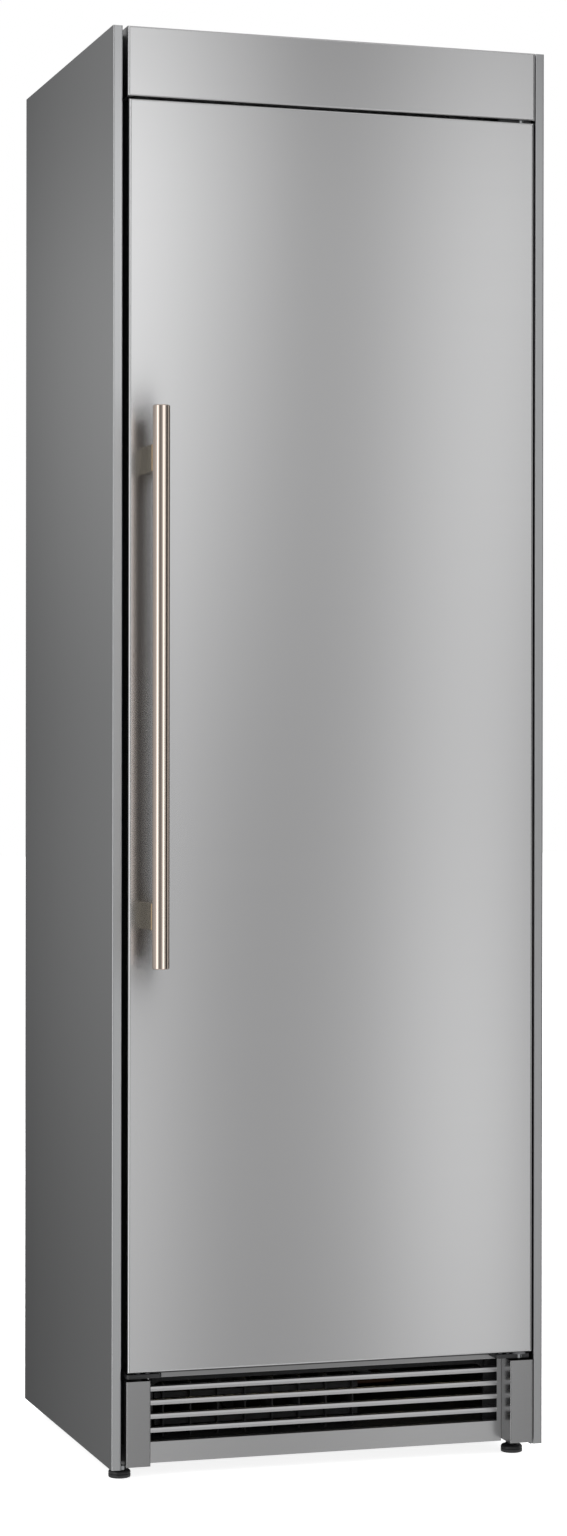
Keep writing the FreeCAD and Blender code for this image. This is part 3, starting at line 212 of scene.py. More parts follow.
def spangled_zinc(name):
    """Galvanised sheet: crystal spangles in two greys."""
    nodes = Nodes(name)
    nodes.set(Metallic=0.9)
    cells = nodes.tree.nodes.new("ShaderNodeTexVoronoi")
    cells.inputs["Scale"].default_value = 70.0
    nodes.link(nodes.place, cells.inputs["Vector"])
    grey = nodes.tree.nodes.new("ShaderNodeSeparateColor")
    nodes.link(cells.outputs["Color"], grey.inputs["Color"])
    spangle = nodes.blend(grey.outputs["Red"], scaled(GALVANISED, 0.8), scaled(GALVANISED, 1.12))
    nodes.colour(nodes.blend(nodes.noise(3.0), spangle, GALVANISED))
    nodes.rough(nodes.between(grey.outputs["Green"], 0.34, 0.5))
    nodes.bump(nodes.noise(60.0), 0.1, 0.0003)
    return nodes.material


def moulded_plastic(name, colour, roughness, texture=500.0, glow=0.0):
    """Plastic with moulded grain and slight colour drift."""
    nodes = Nodes(name)
    tone = nodes.blend(nodes.noise(6.0, detail=1.0), scaled(colour, 0.98), scaled(colour, 1.02))
    nodes.colour(nodes.blend(nodes.edge_wear(), tone, scaled(colour, 1.05)))
    nodes.rough(nodes.between(nodes.noise(9.0), roughness - 0.015, roughness + 0.015))
    nodes.bump(nodes.noise(texture, detail=2.0), 0.05, 0.0001)
    if glow > 0:
        nodes.set(Emission_Color=(1.0, 0.98, 0.93, 1.0), Emission_Strength=glow)
    return nodes.material


def rubber(name, colour, roughness=0.75):
    """Rubber with a fine dusty surface."""
    nodes = Nodes(name)
    dust = nodes.noise(30.0, detail=6.0)
    nodes.colour(nodes.blend(dust, scaled(colour, 0.85), scaled(colour, 1.3)))
    nodes.rough(nodes.between(dust, roughness - 0.08, roughness + 0.08))
    nodes.bump(nodes.noise(700.0, detail=2.0), 0.2, 0.0002)
    return nodes.material


def clear(name, colour, roughness, ior, transmission=1.0):
    """Glass or clear plastic with faint unevenness."""
    nodes = Nodes(name)
    nodes.set(IOR=ior, Transmission_Weight=transmission)
    nodes.colour(nodes.blend(nodes.noise(4.0), scaled(colour, 0.97), colour))
    nodes.rough(nodes.between(nodes.noise(12.0), roughness, roughness + 0.04))
    nodes.bump(nodes.noise(5.0, detail=1.0), 0.02, 0.001)
    return nodes.material


def foam(name):
    """Cut polyurethane foam."""
    nodes = Nodes(name)
    cells = nodes.noise(400.0, detail=3.0)
    nodes.colour(nodes.blend(cells, (0.62, 0.52, 0.30), (0.78, 0.70, 0.45)))
    nodes.rough(nodes.between(cells, 0.8, 0.95))
    nodes.bump(cells, 0.4, 0.0006)
    return nodes.material


def polished_bronze(name):
    """Champagne metal with fine lengthwise lines, and painted shade on the side that faces the door.
    """
    nodes = Nodes(name)
    nodes.set(Metallic=1.0)
    lines = nodes.noise(14.0, (60.0, 60.0, 0.6), detail=4.0, roughness=0.6)
    tone = nodes.blend(lines, scaled(HANDLE_BRONZE, 0.94), scaled(HANDLE_BRONZE, 1.06))
    # painted shade: faces that look towards the door are darkened to 0.30 of the bronze
    back = nodes.map_range(nodes.facing(), 0.45, 0.9)
    nodes.colour(nodes.blend(back, tone, scaled(HANDLE_BRONZE, 0.30)))
    nodes.rough(nodes.between(nodes.noise(8.0), 0.11, 0.15))
    nodes.bump(lines, 0.08, 0.00003)
    return nodes.material


GRAIN_X = (0.3, 40.0, 120.0)      # lines that run across the cabinet
GRAIN_Z = (120.0, 40.0, 0.3)      # lines that run up the cabinet
BAR_DEPTH = 0.0125                # the louvre's top bar, from its top down; it gets painted shade
UNDER_DOOR_SHADOW_DEPTH = 0.0063              # the part of it close under the door, which gets a darker painted shadow
EDGE = 0.0008                     # height over which one tone turns into the next
grille_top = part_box("toe_grille")[1].z


def grille_painted_shade(nodes, tone):
    """Painted shade on the louvre's top bar, and a darker painted shadow close under the door."""
    height = nodes.axis(nodes.place, "Z")
    bar = nodes.map_range(height, grille_top - BAR_DEPTH, grille_top - BAR_DEPTH + EDGE)
    painted_shadow = nodes.map_range(height, grille_top - UNDER_DOOR_SHADOW_DEPTH, grille_top - UNDER_DOOR_SHADOW_DEPTH + EDGE)
    return nodes.blend(painted_shadow, nodes.blend(bar, tone, scaled(STEEL, 0.56)), scaled(STEEL, 0.12))


def strip_painted_light(nodes, tone):
    """Painted light: the side panels' front strips, which face the front, are made lighter than their
    sides.
    """
    # painted light on faces that look to the front, a lit copy of the side steel
    strip = nodes.map_range(nodes.facing(), -0.5, -0.9)
    return nodes.blend(strip, tone, scaled(SIDE_STEEL, 1.38))


MATERIALS = {
    "front_steel": brushed_metal("front_steel", STEEL, 0.26, GRAIN_X, spread=0.8),
    "side_steel": brushed_metal("side_steel", SIDE_STEEL, 0.32, GRAIN_Z, shade=strip_painted_light),
    # painted shade: the louvre's steel is the front steel darkened to 0.92
    "trim_steel": brushed_metal("trim_steel", scaled(STEEL, 0.92), 0.30, GRAIN_X, shade=grille_painted_shade),
    # painted shade: the pillar covers' steel is the front steel darkened to 0.60
    "pillar_steel": brushed_metal("pillar_steel", scaled(STEEL, 0.60), 0.26, GRAIN_X),
    "bronze": polished_bronze("bronze"),
    # painted shade: the stand-offs use a darkened bronze
    "satin_bronze": brushed_metal("satin_bronze", STANDOFF_BRONZE_SHADED, 0.24, GRAIN_Z),
    "zinc": spangled_zinc("zinc"),
    "black_paint": painted_metal("black_paint", BLACK, 0.38),
    "black_matte": painted_metal("black_matte", scaled(BLACK, 0.8), 0.7),
    "liner_white": moulded_plastic("liner_white", WHITE_LINER, 0.28, texture=350.0),
    "grey_plastic": moulded_plastic("grey_plastic", (0.55, 0.57, 0.58), 0.42),
    "black_plastic": moulded_plastic("black_plastic", (0.014, 0.014, 0.015), 0.45),
    "dark_plastic": moulded_plastic("dark_plastic", (0.07, 0.07, 0.075), 0.45),
    "foot_plastic": moulded_plastic("foot_plastic", (0.018, 0.018, 0.019), 0.38, texture=260.0),
    "black_rubber": rubber("black_rubber", (0.02, 0.02, 0.02)),
    "seal_rubber": rubber("seal_rubber", (0.36, 0.37, 0.38), 0.6),
    "glass": clear("glass", (0.90, 0.97, 0.95), 0.02, 1.5),
    "clear_plastic": clear("clear_plastic", (0.90, 0.94, 0.96), 0.10, 1.45, transmission=0.85),
    "lens": moulded_plastic("lens", (0.85, 0.86, 0.84), 0.35, texture=200.0, glow=1.1),
    "display_black": moulded_plastic("display_black", (0.006, 0.007, 0.009), 0.12),
    "display_glow": moulded_plastic("display_glow", (0.55, 0.75, 0.85), 0.4, glow=0.9),
    "trim_white": moulded_plastic("trim_white", (0.60, 0.62, 0.63), 0.34, texture=300.0),
    "dark_screw": brushed_metal("dark_screw", (0.20, 0.20, 0.21), 0.34, GRAIN_X),
    "foam": foam("foam"),
    "aluminium": brushed_metal("aluminium", (0.62, 0.64, 0.66), 0.35, GRAIN_Z, cloud=0.05),
    # painted shade: the copper is near black so the refrigerant lines stay dark behind the louvre
    "dark_copper": brushed_metal("dark_copper", (0.05, 0.028, 0.02), 0.5, GRAIN_Z, cloud=0.2),
    "pin_steel": brushed_metal("pin_steel", (0.45, 0.46, 0.47), 0.25, GRAIN_X, cloud=0.04),
}

NODES_OF = {
    "side_steel": ("left_side_panel", "right_side_panel"),
    "front_steel": ("top_fascia", "door_skin"),
    "pillar_steel": ("left_pillar_cover", "right_pillar_cover"),
    "trim_steel": ("toe_grille",),
    "bronze": ("handle_bar",),
    "satin_bronze": ("upper_standoff", "lower_standoff"),
    "zinc": ("back_panel", "top_cover", "rear_service_cover"),
    # black on base_frame is painted shade behind the louvre; the condenser is black paint of its own
    "black_matte": ("base_frame", "face_frame", "condenser"),
    "black_paint": ("top_hinge_bracket", "bottom_hinge_bracket", "left_corner_bracket",
                    "compressor"),
    "pin_steel": ("hinge_pins",),
    "dark_plastic": ("hinge_bushes",),
    "foam": ("cabinet_insulation", "door_insulation"),
    "liner_white": ("cabinet_liner", "door_liner", "evaporator_cover", "left_runner_panel",
                    "right_runner_panel"),
    "aluminium": ("evaporator",),
    "grey_plastic": ("evaporator_fan", "control_housing", "key_warmer", "key_colder", "key_light",
                     "electronics_box"),
    "black_plastic": ("evaporator_fan_motor", "condenser_fan", "condenser_fan_motor", "drip_pan",
                      "power_inlet", "rear_left_roller", "rear_right_roller", "door_bottom_cap",
                      "door_top_cap"),
    "foot_plastic": ("front_left_foot", "front_right_foot"),
    "lens": ("lamp_lens",),
    "black_rubber": ("compressor_mounts",),
    "seal_rubber": ("door_gasket",),
    "dark_copper": ("refrigerant_lines",),
    "glass": ("shelf_1", "shelf_2", "shelf_3"),
    "clear_plastic": ("door_bin_1", "door_bin_2", "door_bin_3", "drawer_1", "drawer_2", "drawer_3"),
}

for material_name, node_names in NODES_OF.items():
    for node_name in node_names:
        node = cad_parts[node_name]
        node.data.materials.clear()
        node.data.materials.append(MATERIALS[material_name])


# ---------------------------------------------------------------- piece helpers
SHARP_ANGLE = 33.0                # faces that meet at a larger angle, in degrees, keep a crisp edge
TURNED_SIDES = 64
SCREW_SIDES = 20
SCREW_RINGS = 5
DOME_TURN = 0.75                  # share of a quarter turn that a screw head's dome covers
CROSS_WIDTH = 0.18                # share of the head's radius
CROSS_HEIGHT = 0.08               # share of the head's height
UP = (0, 0, 1)


def finish_piece(mesh, name, material, body):
    """Turns a bmesh into a piece that rides on a body."""
    data = bpy.data.meshes.new(name)
    mesh.to_mesh(data)
    mesh.free()
    piece = bpy.data.objects.new(name, data)
    bpy.context.scene.collection.objects.link(piece)
    data.materials.append(MATERIALS[material])
    for polygon in data.polygons:
        polygon.use_smooth = True
    data.set_sharp_from_angle(angle=math.radians(SHARP_ANGLE))
    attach(piece, body)
    return piece


def bevelled_block(mesh, low, high, bevel):
    """Adds a block with softened edges between two corners."""
    made = bmesh.ops.create_cube(mesh, size=1.0)
    size = Vector(high) - Vector(low)
    middle = (Vector(high) + Vector(low)) / 2
    bmesh.ops.scale(mesh, vec=size, verts=made["verts"])
    bmesh.ops.translate(mesh, vec=middle, verts=made["verts"])
    edges = list({edge for vertex in made["verts"] for edge in vertex.link_edges})
    bmesh.ops.bevel(mesh, geom=edges, offset=bevel, segments=2, affect="EDGES")


def blocks(name, corners, bevel, material, body):
    """A group of softened blocks as one piece."""
    mesh = bmesh.new()
    for low, high in corners:
        bevelled_block(mesh, low, high, bevel)
    return finish_piece(mesh, name, material, body)


def ring_of(mesh, matrix, radius, height, sides):
    """A ring of vertices about the matrix's Z axis."""
    ring = []
    for side in range(sides):
        angle = 2 * math.pi * side / sides
        point = Vector((radius * math.cos(angle), radius * math.sin(angle), height))
        ring.append(mesh.verts.new(matrix @ point))
    return ring


def skin(mesh, rings):
    """Faces between each ring and the next."""
    for low, high in zip(rings, rings[1:]):
        for side in range(len(low)):
            after = (side + 1) % len(low)
            mesh.faces.new((low[side], low[after], high[after], high[side]))


def cap(mesh, rings):
    """Faces that close the first and the last ring."""
    mesh.faces.new(rings[0][::-1])
    mesh.faces.new(rings[-1])


def turned(mesh, profile, matrix, closed=False):
    """Adds a surface turned through (radius, height) points about the matrix's Z axis."""
    rings = [ring_of(mesh, matrix, radius, height, TURNED_SIDES) for radius, height in profile]
    if closed:
        skin(mesh, rings + rings[:1])
    else:
        skin(mesh, rings)
        cap(mesh, rings)


def pan_screw(mesh, place, direction, radius, height):
    """Adds a domed screw head that stands on a surface and is marked with a cross."""
    turn = Vector(UP).rotation_difference(Vector(direction)).to_matrix().to_4x4()
    matrix = Matrix.Translation(Vector(place)) @ turn
    rings = []
    for ring in range(SCREW_RINGS + 1):
        angle = ring / SCREW_RINGS * math.pi / 2
        rings.append(ring_of(mesh, matrix, radius * math.cos(angle * DOME_TURN),
                             height * math.sin(angle), SCREW_SIDES))
    skin(mesh, rings)
    cap(mesh, rings)
    for angle in (0.0, math.pi / 2):
        arm = bmesh.ops.create_cube(mesh, size=1.0)
        bmesh.ops.scale(mesh, vec=(radius, radius * CROSS_WIDTH, height * CROSS_HEIGHT),
                        verts=arm["verts"])
        bmesh.ops.transform(mesh, matrix=matrix @ Matrix.Translation((0, 0, height)) @
                            Matrix.Rotation(angle, 4, "Z"), verts=arm["verts"])


def screws(name, places, direction, radius, height, material="pin_steel"):
    """A group of equal screws on the cabinet as one piece."""
    mesh = bmesh.new()
    for place in places:
        pan_screw(mesh, place, direction, radius, height)
    return finish_piece(mesh, name, material, "cabinet")


# ---------------------------------------------------------------- feet and rollers
FOOT_PROFILE = ((0.0150, 0.0), (0.0160, 0.0004), (0.0165, 0.0012), (0.0165, 0.0050), (0.0159, 0.0054),
                (0.0157, 0.0058), (0.0159, 0.0062), (0.0165, 0.0066), (0.0165, 0.0080),
                (0.0160, 0.0094), (0.0146, 0.0110), (0.0130, 0.0115), (0.0104, 0.0115),
                (0.0100, 0.0120), (0.0092, 0.0140), (0.0078, 0.0162), (0.0066, 0.0172),
                (0.0062, 0.0180), (0.0048, 0.0182))
STEM_BOTTOM = 0.018
STEM_RADIUS = 0.005
THREAD_DEPTH = 0.0007
THREAD_PITCH = 0.0015
THREAD_SIDES = 32
THREAD_STEPS = 6                  # rings in one pitch
ROLLER_HALF = ((0.00405, -0.0070), (0.0085, -0.0070), (0.0090, -0.0056), (0.0142, -0.0056),
               (0.0148, -0.0070), (0.0170, -0.0070), (0.0177, -0.0066), (0.0180, -0.0058),
               (0.0180, -0.0020), (0.0177, -0.0016))
ROLLER_PROFILE = ROLLER_HALF + tuple((radius, -across) for radius, across in reversed(ROLLER_HALF))


def thread(mesh, place, height):
    """Adds a foot's screw thread that rises from a place."""
    rings = []
    for step in range(int(height / THREAD_PITCH * THREAD_STEPS) + 1):
        ring = []
        for side in range(THREAD_SIDES):
            share = side / THREAD_SIDES
            wave = abs(((step / THREAD_STEPS - share) % 1.0) * 2 - 1)
            reach = STEM_RADIUS - THREAD_DEPTH * wave
            angle = 2 * math.pi * share
            offset = Vector((reach * math.cos(angle), reach * math.sin(angle),
                             step * THREAD_PITCH / THREAD_STEPS))
            ring.append(mesh.verts.new(Vector(place) + offset))
        rings.append(ring)
    skin(mesh, rings)
    cap(mesh, rings)


def turned_foot(node):
    """Round levelling foot with a grip groove and a threaded stem."""
    low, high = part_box(node)
    middle = (low + high) / 2
    place = Vector((middle.x, middle.y, low.z))
    mesh = bmesh.new()
    turned(mesh, FOOT_PROFILE, Matrix.Translation(place))
    thread(mesh, place + Vector((0, 0, STEM_BOTTOM)), high.z - low.z - STEM_BOTTOM)
    piece = finish_piece(mesh, node + "_turned", "foot_plastic", node)
    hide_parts(node)


def turned_roller(node):
    """Wheel with hollowed sides and a shallow groove round its tread."""
    low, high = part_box(node)
    mesh = bmesh.new()
    turned(mesh, ROLLER_PROFILE, Matrix.Translation((low + high) / 2) @
           Matrix.Rotation(math.radians(90.0), 4, "Y"), closed=True)
    piece = finish_piece(mesh, node + "_turned", "black_plastic", node)
    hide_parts(node)


# ---------------------------------------------------------------- outside fittings
LEAF_SCREW_RADIUS = 0.0042
LEAF_SCREW_HEIGHT = 0.0022
LEAF_SCREW_INSET = 0.010          # behind the right leaf's front edge
RIGHT_LEAF_SCREWS = (0.010, 0.022)    # from the leaf's left end
LEFT_LEAF_SCREWS = (0.020, 0.034)
SHEET_SCREW_RADIUS = 0.0040
BACK_SCREW_HEIGHT = 0.0009
TOP_SCREW_HEIGHT = 0.0016
BACK_SET_IN = 0.0012              # the back sheet's screwed face, from its back edge
BACK_SCREW_X = 0.3125
TOP_SCREW_X = 0.322
TOP_SCREW_MIDDLE = 0.07           # Y of the middle pair
SCREW_MARGIN = 0.03               # end screws, from the sheet's edge
SERVICE_TOP_MARGIN = 0.02
BACK_ROWS = 9
TAB_INSET = 0.0146                # pillar covers' tabs, from the side panel's outer face
TAB_FRONT = -0.2425
TAB_BACK = -0.2345
TAB_LOW = 0.0222
TAB_HIGH = 0.0285
TAB_BEVEL = 0.0007


def leaf_screws(name, leaf, offsets):
    """Screws on top of a lower bracket's leaf, both brackets' in one row."""
    low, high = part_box(leaf)
    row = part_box("bottom_hinge_bracket")[0].y + LEAF_SCREW_INSET
    screws(name, [(low.x + offset, row, high.z) for offset in offsets], UP, LEAF_SCREW_RADIUS,
           LEAF_SCREW_HEIGHT, "dark_screw")


def back_screws():
    """Rows of screws up both edges of the back sheet."""
    low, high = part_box("back_panel")
    rise = (high.z - low.z - 2 * SCREW_MARGIN) / (BACK_ROWS - 1)
    heights = [low.z + SCREW_MARGIN + row * rise for row in range(BACK_ROWS)]
    screws("back_screws", [(side * BACK_SCREW_X, high.y - BACK_SET_IN, height)
                           for height in heights for side in (-1, 1)],
           (0, 1, 0), SHEET_SCREW_RADIUS, BACK_SCREW_HEIGHT)


def service_screws():
    """Three screws on each edge of the service cover."""
    low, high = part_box("rear_service_cover")
    heights = (low.z + SCREW_MARGIN, (low.z + high.z) / 2, high.z - SERVICE_TOP_MARGIN)
    screws("service_screws", [(side * BACK_SCREW_X, high.y, height)
                              for side in (-1, 1) for height in heights],
           (0, 1, 0), SHEET_SCREW_RADIUS, BACK_SCREW_HEIGHT)


def top_screws():
    """Three screws along each side of the top sheet."""
    low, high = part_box("top_cover")
    rows = (low.y + SCREW_MARGIN, TOP_SCREW_MIDDLE, high.y - SCREW_MARGIN)
    screws("top_screws", [(side * TOP_SCREW_X, row, high.z) for side in (-1, 1) for row in rows],
           UP, SHEET_SCREW_RADIUS, TOP_SCREW_HEIGHT)


def cover_tabs():
    """Folded tabs that hold the pillar covers' lower ends to the side panels' strips."""
    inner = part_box("right_pillar_cover")[1].x
    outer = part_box("right_side_panel")[1].x - TAB_INSET
    corners = []
    for side in (-1, 1):
        left, right = sorted((side * inner, side * outer))
        corners.append(((left, TAB_FRONT, TAB_LOW), (right, TAB_BACK, TAB_HIGH)))
    blocks("cover_tabs", corners, TAB_BEVEL, "pin_steel", "cabinet")


# ---------------------------------------------------------------- inside fittings
TRIM_PROUD = 0.0016               # a shelf's front trim, ahead of the glass
TRIM_DEPTH = 0.0070               # and back over it
TRIM_UNDER = 0.0012
TRIM_OVER = 0.0008
REAR_TRIM_DEPTH = 0.0130
REAR_TRIM_DROP = 0.0064           # from the glass's top down
REAR_TRIM_SETBACK = 0.0002        # from the shelf's back edge
TRIM_BEVEL = 0.0011
BIN_RIM_DROP = 0.034              # from a bin's top down to the rim of its room side
BAND_INSET = 0.004                # a bin's band, from its ends
BAND_TOP = 0.0030                 # from the rim down
BAND_BOTTOM = 0.0150
BAND_SUNK = 0.0008
BAND_PROUD = 0.0010
BAND_BEVEL = 0.0006
PULL_REACH = 0.013                # a drawer's pull, ahead of its face
BEAD_INSET = 0.012                # a drawer's bead, from the sides and the bottom
BEAD_TOP_INSET = 0.045
BEAD_WIDTH = 0.004
BEAD_PROUD = 0.0011
BEAD_SUNK = 0.0002
BEAD_BEVEL = 0.0005
AIR_SCREW_X = 0.262
AIR_SCREW_HEIGHTS = (1.03, 1.41)  # Z of the middle pairs
AIR_SCREW_RADIUS = 0.0050
AIR_SCREW_HEIGHT = 0.0018


def shelf_trims(number):
    """White strips along a glass shelf's front and back edges."""
    low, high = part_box("shelf_%d" % number)
    top = high.z + TRIM_OVER
    front = ((low.x, low.y - TRIM_PROUD, low.z - TRIM_UNDER), (high.x, low.y + TRIM_DEPTH, top))
    rear = ((low.x, high.y - REAR_TRIM_DEPTH, high.z - REAR_TRIM_DROP),
            (high.x, high.y - REAR_TRIM_SETBACK, top))
    blocks("shelf_%d_trims" % number, (front, rear), TRIM_BEVEL, "trim_white", "cabinet")


def bin_band(number):
    """White band under the rim of a door bin."""
    low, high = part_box("door_bin_%d" % number)
    rim = high.z - BIN_RIM_DROP
    band = ((low.x + BAND_INSET, high.y - BAND_SUNK, rim - BAND_BOTTOM),
            (high.x - BAND_INSET, high.y + BAND_PROUD, rim - BAND_TOP))
    blocks("door_bin_%d_band" % number, (band,), BAND_BEVEL, "trim_white", "door")


def drawer_bead(number):
    """White bead round a drawer's face."""
    box_low, box_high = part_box("drawer_%d" % number)
    face = box_low.y + PULL_REACH
    left = box_low.x + BEAD_INSET
    right = box_high.x - BEAD_INSET
    low = box_low.z + BEAD_INSET
    high = box_high.z - BEAD_TOP_INSET
    bars = ((left, low, right, low + BEAD_WIDTH), (left, high - BEAD_WIDTH, right, high),
            (left, low, left + BEAD_WIDTH, high), (right - BEAD_WIDTH, low, right, high))
    corners = [((start, face - BEAD_PROUD, bottom), (end, face + BEAD_SUNK, top))
               for start, bottom, end, top in bars]
    blocks("drawer_%d_bead" % number, corners, BEAD_BEVEL, "trim_white", "drawer_%d" % number)


def air_wall_screws():
    """White screws up both sides of the rear air wall."""
    low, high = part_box("evaporator_cover")
    heights = (low.z + SCREW_MARGIN, *AIR_SCREW_HEIGHTS, high.z - SCREW_MARGIN)
    screws("air_wall_screws", [(side * AIR_SCREW_X, low.y, height)
                               for side in (-1, 1) for height in heights],
           (0, -1, 0), AIR_SCREW_RADIUS, AIR_SCREW_HEIGHT, "trim_white")


# ---------------------------------------------------------------- control head
DISPLAY_LEFT = 0.0164
DISPLAY_RIGHT = 0.0936
DISPLAY_HALF = 0.0096             # half its height
DISPLAY_PROUD = 0.0002
DISPLAY_SUNK = 0.0009
DISPLAY_BEVEL = 0.0004
GLOW_BARS = 5
GLOW_LEFT = 0.030
GLOW_PITCH = 0.0115
GLOW_WIDTH = 0.0050
GLOW_HALF = 0.0012                # half the first bar's height
GLOW_GROWTH = 0.0008              # how much each next bar's half height grows
GLOW_FRONT = 0.0004               # ahead of the housing's face
GLOW_BACK = 0.0001
GLOW_BEVEL = 0.0001
MARK_PROUD = 0.00015
MARK_SUNK = 0.00010
MARK_BEVEL = 0.00005
LONG_HALF = 0.0028                # half a plus or minus stroke's length
LINE_HALF = 0.0005                # and half its width
SUN_HALF = 0.0011
RAY_PLACE = 0.0027                # from the sun's middle
RAY_LONG_HALF = 0.0008
RAY_LINE_HALF = 0.0003


def display():
    """Dark window beside the keys, with five plain bars of growing height."""
    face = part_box("control_housing")[0].y
    key_low, key_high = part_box("key_light")
    middle = (key_low.z + key_high.z) / 2
    window = ((DISPLAY_LEFT, face - DISPLAY_PROUD, middle - DISPLAY_HALF),
              (DISPLAY_RIGHT, face + DISPLAY_SUNK, middle + DISPLAY_HALF))
    blocks("display_window", (window,), DISPLAY_BEVEL, "display_black", "cabinet")
    bars = []
    for index in range(GLOW_BARS):
        left = GLOW_LEFT + index * GLOW_PITCH
        half = GLOW_HALF + GLOW_GROWTH * index
        bars.append(((left, face - GLOW_FRONT, middle - half),
                     (left + GLOW_WIDTH, face - GLOW_BACK, middle + half)))
    blocks("display_bars", bars, GLOW_BEVEL, "display_glow", "cabinet")


def legend(key, strokes):
    """Marks on a key: each stroke is (across, up, half width, half height) from its middle."""
    low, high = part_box(key)
    middle = (low + high) / 2
    corners = []
    for across, up, half_width, half_height in strokes:
        stroke_x = middle.x + across
        stroke_z = middle.z + up
        corners.append(((stroke_x - half_width, low.y - MARK_PROUD, stroke_z - half_height),
                        (stroke_x + half_width, low.y + MARK_SUNK, stroke_z + half_height)))
    blocks(key + "_mark", corners, MARK_BEVEL, "black_plastic", key)


def key_marks():
    """A plus, a minus and a small sun."""
    minus = (0, 0, LONG_HALF, LINE_HALF)
    legend("key_warmer", (minus, (0, 0, LINE_HALF, LONG_HALF)))
    legend("key_colder", (minus,))
    legend("key_light", ((0, 0, SUN_HALF, SUN_HALF),
                         (0, RAY_PLACE, RAY_LINE_HALF, RAY_LONG_HALF),
                         (0, -RAY_PLACE, RAY_LINE_HALF, RAY_LONG_HALF),
                         (RAY_PLACE, 0, RAY_LONG_HALF, RAY_LINE_HALF),
                         (-RAY_PLACE, 0, RAY_LONG_HALF, RAY_LINE_HALF)))


# ---------------------------------------------------------------- the pieces
turned_foot("front_left_foot")
turned_foot("front_right_foot")
turned_roller("rear_left_roller")
turned_roller("rear_right_roller")
leaf_screws("right_leaf_screws", "bottom_hinge_bracket", RIGHT_LEAF_SCREWS)
leaf_screws("left_leaf_screws", "left_corner_bracket", LEFT_LEAF_SCREWS)
back_screws()
service_screws()
top_screws()
cover_tabs()
for shelf_number in (1, 2, 3):
    shelf_trims(shelf_number)
for bin_number in (1, 2, 3):
    bin_band(bin_number)
for drawer_number in (1, 2, 3):
    drawer_bead(drawer_number)
air_wall_screws()
display()
key_marks()

# ---------------------------------------------------------------- floor, lights and camera
FLOOR_HALF = 30.0                 # half the floor's side
ROOM_BACK = 0.30                  # the studio's light behind the cabinet
ROOM_FRONT = 0.85                 # and in front of it
CLIP_END = 100.0


def floor_material():
    """Pale floor with the faintest cloudiness."""
    nodes = Nodes("pale_floor")
    nodes.colour(nodes.blend(nodes.noise(0.7), (0.90, 0.90, 0.90), (0.94, 0.94, 0.94)))
    nodes.set(Roughness=0.9, Specular_IOR_Level=0.0,
              Emission_Color=(1.0, 1.0, 1.0, 1.0), Emission_Strength=0.85)
    return nodes.material


def flat_board(name, half, material):
    """Square sheet in its own XY plane."""
    mesh = bmesh.new()
    bmesh.ops.create_grid(mesh, x_segments=1, y_segments=1, size=half)
    data = bpy.data.meshes.new(name)
    mesh.to_mesh(data)
    mesh.free()
    data.materials.append(material)
    board = bpy.data.objects.new(name, data)
    bpy.context.scene.collection.objects.link(board)
    return board


def area_light(name, place, target, size, power):
    """Square soft box aimed at a point."""
    light = bpy.data.lights.new(name, "AREA")
    light.energy = power
    light.shape = "SQUARE"
    light.size = size
    item = bpy.data.objects.new(name, light)
    item.location = place
    item.rotation_euler = (Vector(target) - Vector(place)).to_track_quat("-Z", "Y").to_euler()
    item.visible_glossy = False
    bpy.context.scene.collection.objects.link(item)


def studio_world():
    """White to the camera, and a grey room, lighter in front, to everything else."""
    world = bpy.data.worlds.new("studio")
    bpy.context.scene.world = world
    world.use_nodes = True
    tree = world.node_tree
    tree.nodes.clear()
    output = tree.nodes.new("ShaderNodeOutputWorld")
    room = tree.nodes.new("ShaderNodeBackground")
    white = tree.nodes.new("ShaderNodeBackground")
    white.inputs["Color"].default_value = (1.0, 1.0, 1.0, 1.0)
    mix = tree.nodes.new("ShaderNodeMixShader")
    path = tree.nodes.new("ShaderNodeLightPath")
    place = tree.nodes.new("ShaderNodeTexCoord")
    split = tree.nodes.new("ShaderNodeSeparateXYZ")
    depth = tree.nodes.new("ShaderNodeMapRange")
    depth.inputs["From Min"].default_value = 1.0
    depth.inputs["From Max"].default_value = -1.0
    depth.inputs["To Min"].default_value = ROOM_BACK
    depth.inputs["To Max"].default_value = ROOM_FRONT
    tree.links.new(place.outputs["Generated"], split.inputs["Vector"])
    tree.links.new(split.outputs["Y"], depth.inputs["Value"])
    tree.links.new(depth.outputs["Result"], room.inputs["Color"])
    tree.links.new(path.outputs["Is Camera Ray"], mix.inputs["Fac"])
    tree.links.new(room.outputs["Background"], mix.inputs[1])
    tree.links.new(white.outputs["Background"], mix.inputs[2])
    tree.links.new(mix.outputs["Shader"], output.inputs["Surface"])


def make_camera():
    """Camera at the photograph's place, with its view angle."""
    data = bpy.data.cameras.new("camera")
    data.sensor_fit = "AUTO"
    data.sensor_width = SENSOR_MM
    data.lens = FOCAL_PIXELS / PHOTO_HEIGHT * SENSOR_MM
    data.clip_end = CLIP_END
    camera = bpy.data.objects.new("camera", data)
    turn = (Matrix.Rotation(-math.radians(CAMERA_YAW), 4, "Z") @
            Matrix.Rotation(math.radians(90.0 + CAMERA_PITCH), 4, "X") @
            Matrix.Rotation(math.radians(CAMERA_ROLL), 4, "Z"))
    camera.matrix_world = Matrix.Translation(CAMERA_PLACE) @ turn
    bpy.context.scene.collection.objects.link(camera)
    bpy.context.scene.camera = camera


